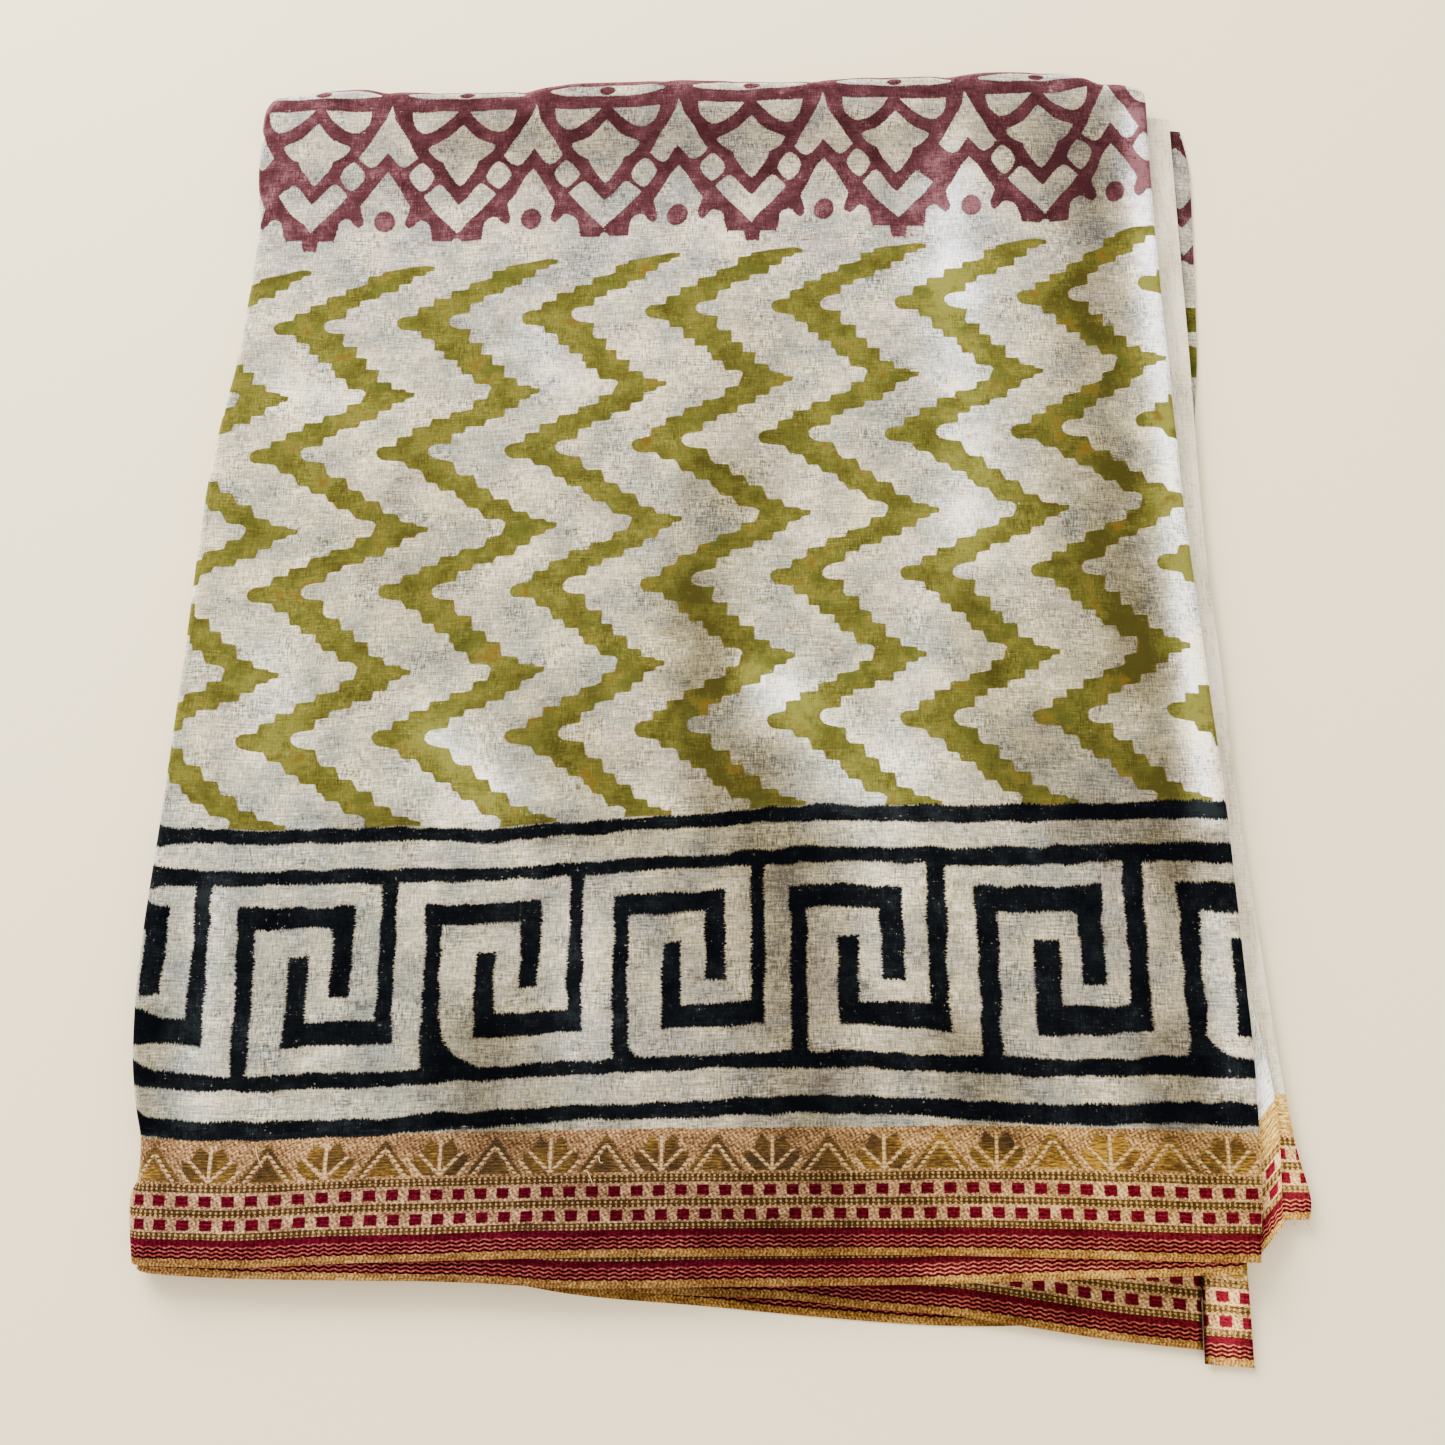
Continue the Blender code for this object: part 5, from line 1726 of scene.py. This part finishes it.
def make_hidden_layers(material):
    """The layers between: a stack of rounded folded edges."""
    rings, turns = [], []
    for layer in range(LAYERS):
        for step in range(CORE_EDGE_STEPS):
            share = step / CORE_EDGE_STEPS
            groove = GROOVE * (1 - math.sqrt(max(0.0, 1 - (2 * share - 1) ** 2)))
            rings.append(core_ring((layer + share) / LAYERS, groove))
            turns.append(layer)
    rings += [core_ring(1.0, GROOVE, shrink) for shrink in (0.0, *CAP_RINGS)]
    turns += [LAYERS - 1] * (1 + len(CAP_RINGS))
    points = np.array(rings)
    points = np.concatenate([points, points[:, :1]], axis=1)
    u = points[..., 0] + np.array(turns)[:, None] * LAYER_PRINT_STEP
    v = points[..., 1] - near_edge(points[..., 0])
    maps = {"cloth": (u, v), "print": (u, v), "tone": (0 * u, 0 * v)}
    piece = lay_grid("hidden_layers_cloth", points, maps, material)
    bpy.ops.object.mode_set(mode="EDIT")
    bpy.ops.mesh.select_all(action="SELECT")
    bpy.ops.mesh.remove_doubles(threshold=MERGE_REACH)
    bpy.ops.mesh.select_all(action="DESELECT")
    bpy.ops.mesh.select_non_manifold()
    bpy.ops.mesh.edge_face_add()
    bpy.ops.mesh.select_all(action="SELECT")
    bpy.ops.mesh.normals_make_consistent(inside=False)
    bpy.ops.object.mode_set(mode="OBJECT")
    bpy.ops.object.shade_smooth_by_angle(angle=LAYER_SMOOTH_ANGLE)
    return piece


def dress(piece, node):
    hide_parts(node)
    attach(piece, "root")


def make_camera():
    camera = bpy.data.cameras.new("camera")
    camera.lens = CAMERA_LENS
    camera.sensor_width = CAMERA_FILM
    camera_object = bpy.data.objects.new("camera", camera)
    camera_object.location = CAMERA_PLACE
    camera_object.rotation_euler = (CAMERA_TILT, 0.0, 0.0)
    bpy.context.scene.collection.objects.link(camera_object)
    bpy.context.scene.camera = camera_object


def make_window():
    """Soft light from a window behind the cloth and to its left."""
    light = bpy.data.lights.new("window", "AREA")
    light.size = WINDOW_SIZE
    light.energy = WINDOW_POWER
    light.color = WINDOW_TINT
    lamp = bpy.data.objects.new("window", light)
    lamp.location = WINDOW_PLACE
    lamp.rotation_euler = Vector(WINDOW_PLACE).to_track_quat("Z", "Y").to_euler()
    bpy.context.scene.collection.objects.link(lamp)


def make_threads():
    """Loose ends of thread: thin round tubes, each bent along its places."""
    material = make_matt("loose thread", 0.9, 700.0, LOOSE_THREAD)
    tubes = []
    for places in LOOSE_THREADS:
        bpy.ops.object.select_all(action="DESELECT")
        bpy.ops.curve.primitive_nurbs_path_add()
        tube = bpy.context.object
        for point, at in zip(tube.data.splines[0].points, places):
            point.co = (*at, 1.0)
        tube.data.resolution_u = THREAD_STEPS
        tube.data.bevel_depth = THREAD_RADIUS
        tube.data.bevel_resolution = THREAD_ROUNDNESS
        bpy.ops.object.convert(target="MESH")
        tubes.append(tube)
    for tube in tubes:
        tube.select_set(True)
    bpy.ops.object.join()
    threads = bpy.context.object
    threads.name = "loose_threads"
    threads.data.materials.append(material)
    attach(threads, "root")
    return threads


def make_stage():
    bpy.ops.object.select_all(action="DESELECT")
    bpy.ops.mesh.primitive_plane_add(size=FLOOR_SIZE, location=FLOOR_PLACE)
    floor = bpy.context.object
    floor.name = "floor"
    floor.data.materials.append(make_matt("pale floor", 0.95, 3.0, FLOOR))
    world = bpy.data.worlds.new("soft room")
    world.use_nodes = True
    background = world.node_tree.nodes["Background"]
    background.inputs["Color"].default_value = ROOM_TINT
    background.inputs["Strength"].default_value = ROOM_STRENGTH
    bpy.context.scene.world = world
    make_window()


# How each sheet is laid: (node, place, columns, rows, cloth, start of the print up from the selvedge,
# shift of the print, painted shade and light). Its columns and rows are runs of stations.
OVER = ((4, 3, 2), (3, 2, 18), (2, 1, 150), (1, 0, 8))
SHEETS = (
    (
        "top_panel", top_panel_place, OVER, ((0, 1, 165), (1, 2, 10), (2, 3, 12)), "printed",
        BORDER_WIDTH, 0.0, TOP_PAINTED_SHADING,
    ),
    ("top_border", top_border_place, OVER, ((0, 1, 20),), "woven", 0.0, 0.0, TOP_PAINTED_SHADING),
    (
        "second_border", second_border_place, ((3.5, 3, 2), (3, 2, 14), (2, 1.006, 130)), ((0, 1, 10),),
        "woven", 0.0, 0.004, LOWER_PAINTED_SHADING,
    ),
    (
        "second_fold", second_fold_place, ((0, 1, 6), (1, 2, 8)), ((0, 1, 220),), "plain fold",
        0.0, 0.0, LOWER_PAINTED_SHADING,
    ),
    (
        "third_border", third_border_place, ((0, 1, 100),), ((0, 1, 16),), "woven",
        0.0, 0.002, LOWER_PAINTED_SHADING,
    ),
    ("tail_strip", tail_strip_place, ((0, 1, 12),), ((0, 1, 28),), "woven", 0.0, 0.003, LOWER_PAINTED_SHADING),
    ("end_strip", end_strip_place, ((0, 1, 14),), ((0, 1, 200),), "plain", BORDER_WIDTH, 0.0, ()),
    ("end_border", end_border_place, ((0, 1, 14),), ((0, 1, 22),), "crushed", 0.0, 0.003, LOWER_PAINTED_SHADING),
    (
        "lower_layer", lower_layer_place, ((0, 1, 14),), ((0, 1, 160),), "layered",
        LOWER_LAYER_PRINT, 0.0, (),
    ),
    (
        "under_panel", under_panel_place, ((1, 0, 90),), ((0, 1, 100), (1, 2, 6), (2, 3, 8)), "printed",
        BORDER_WIDTH, 0.0, (),
    ),
    ("under_border", under_border_place, ((1, 0, 90),), ((0, 1, 12),), "woven", 0.0, 0.0, UNDER_PAINTED_SHADING),
)

# The cut of each piece that shows: (node, slot, width, length, what it rests on)
CUTS = (
    ("top_panel", "printed_cotton", 0.536, 0.545, ("hidden_layers_cloth", "floor")),
    ("top_border", "woven_border", 0.531, 0.054, ("second_border_cloth", "floor")),
    ("second_border", "woven_border", 0.515, 0.023, ("hidden_layers_cloth",)),
    ("second_fold", "printed_cotton", 0.018, 0.556, ("hidden_layers_cloth",)),
    ("third_border", "woven_border", 0.281, 0.038, ("hidden_layers_cloth", "floor")),
    ("tail_strip", "woven_border", 0.0195, 0.055, ("hidden_layers_cloth", "floor")),
    ("end_strip", "plain_cotton", 0.024, 0.498, ("hidden_layers_cloth",)),
    ("end_border", "woven_border", 0.031, 0.0535, ("hidden_layers_cloth",)),
    ("lower_layer", "printed_cotton", 0.027, 0.469, ("under_panel_cloth",)),
    ("under_panel", "printed_cotton", 0.447, 0.541, ("floor",)),
    ("under_border", "woven_border", 0.449, 0.070, ("floor",)),
)


def make_pieces():
    """The sheets, by node, and the layers between them."""
    cloths = {
        "printed": make_printed_cotton(),
        "woven": make_woven_border("woven border"),
        "crushed": make_woven_border("crushed border", 1.0),
        "plain": make_plain_cotton(),
        "plain fold": make_plain_fold(),
        "layered": make_layered_cloth(),
    }
    made = {}
    for node, place, columns, rows, cloth, *how in SHEETS:
        made[node] = make_sheet(
            node + "_cloth", place, stations(*columns), stations(*rows), cloths[cloth], *how
        )
    for node, slot, *_ in CUTS:
        dress(made[node], node)
    dress(make_hidden_layers(cloths["layered"]), "hidden_layers")
    return made


def main():
    make_camera()
    make_stage()
    make_groups()
    made = make_pieces()
    threads = make_threads()


main()
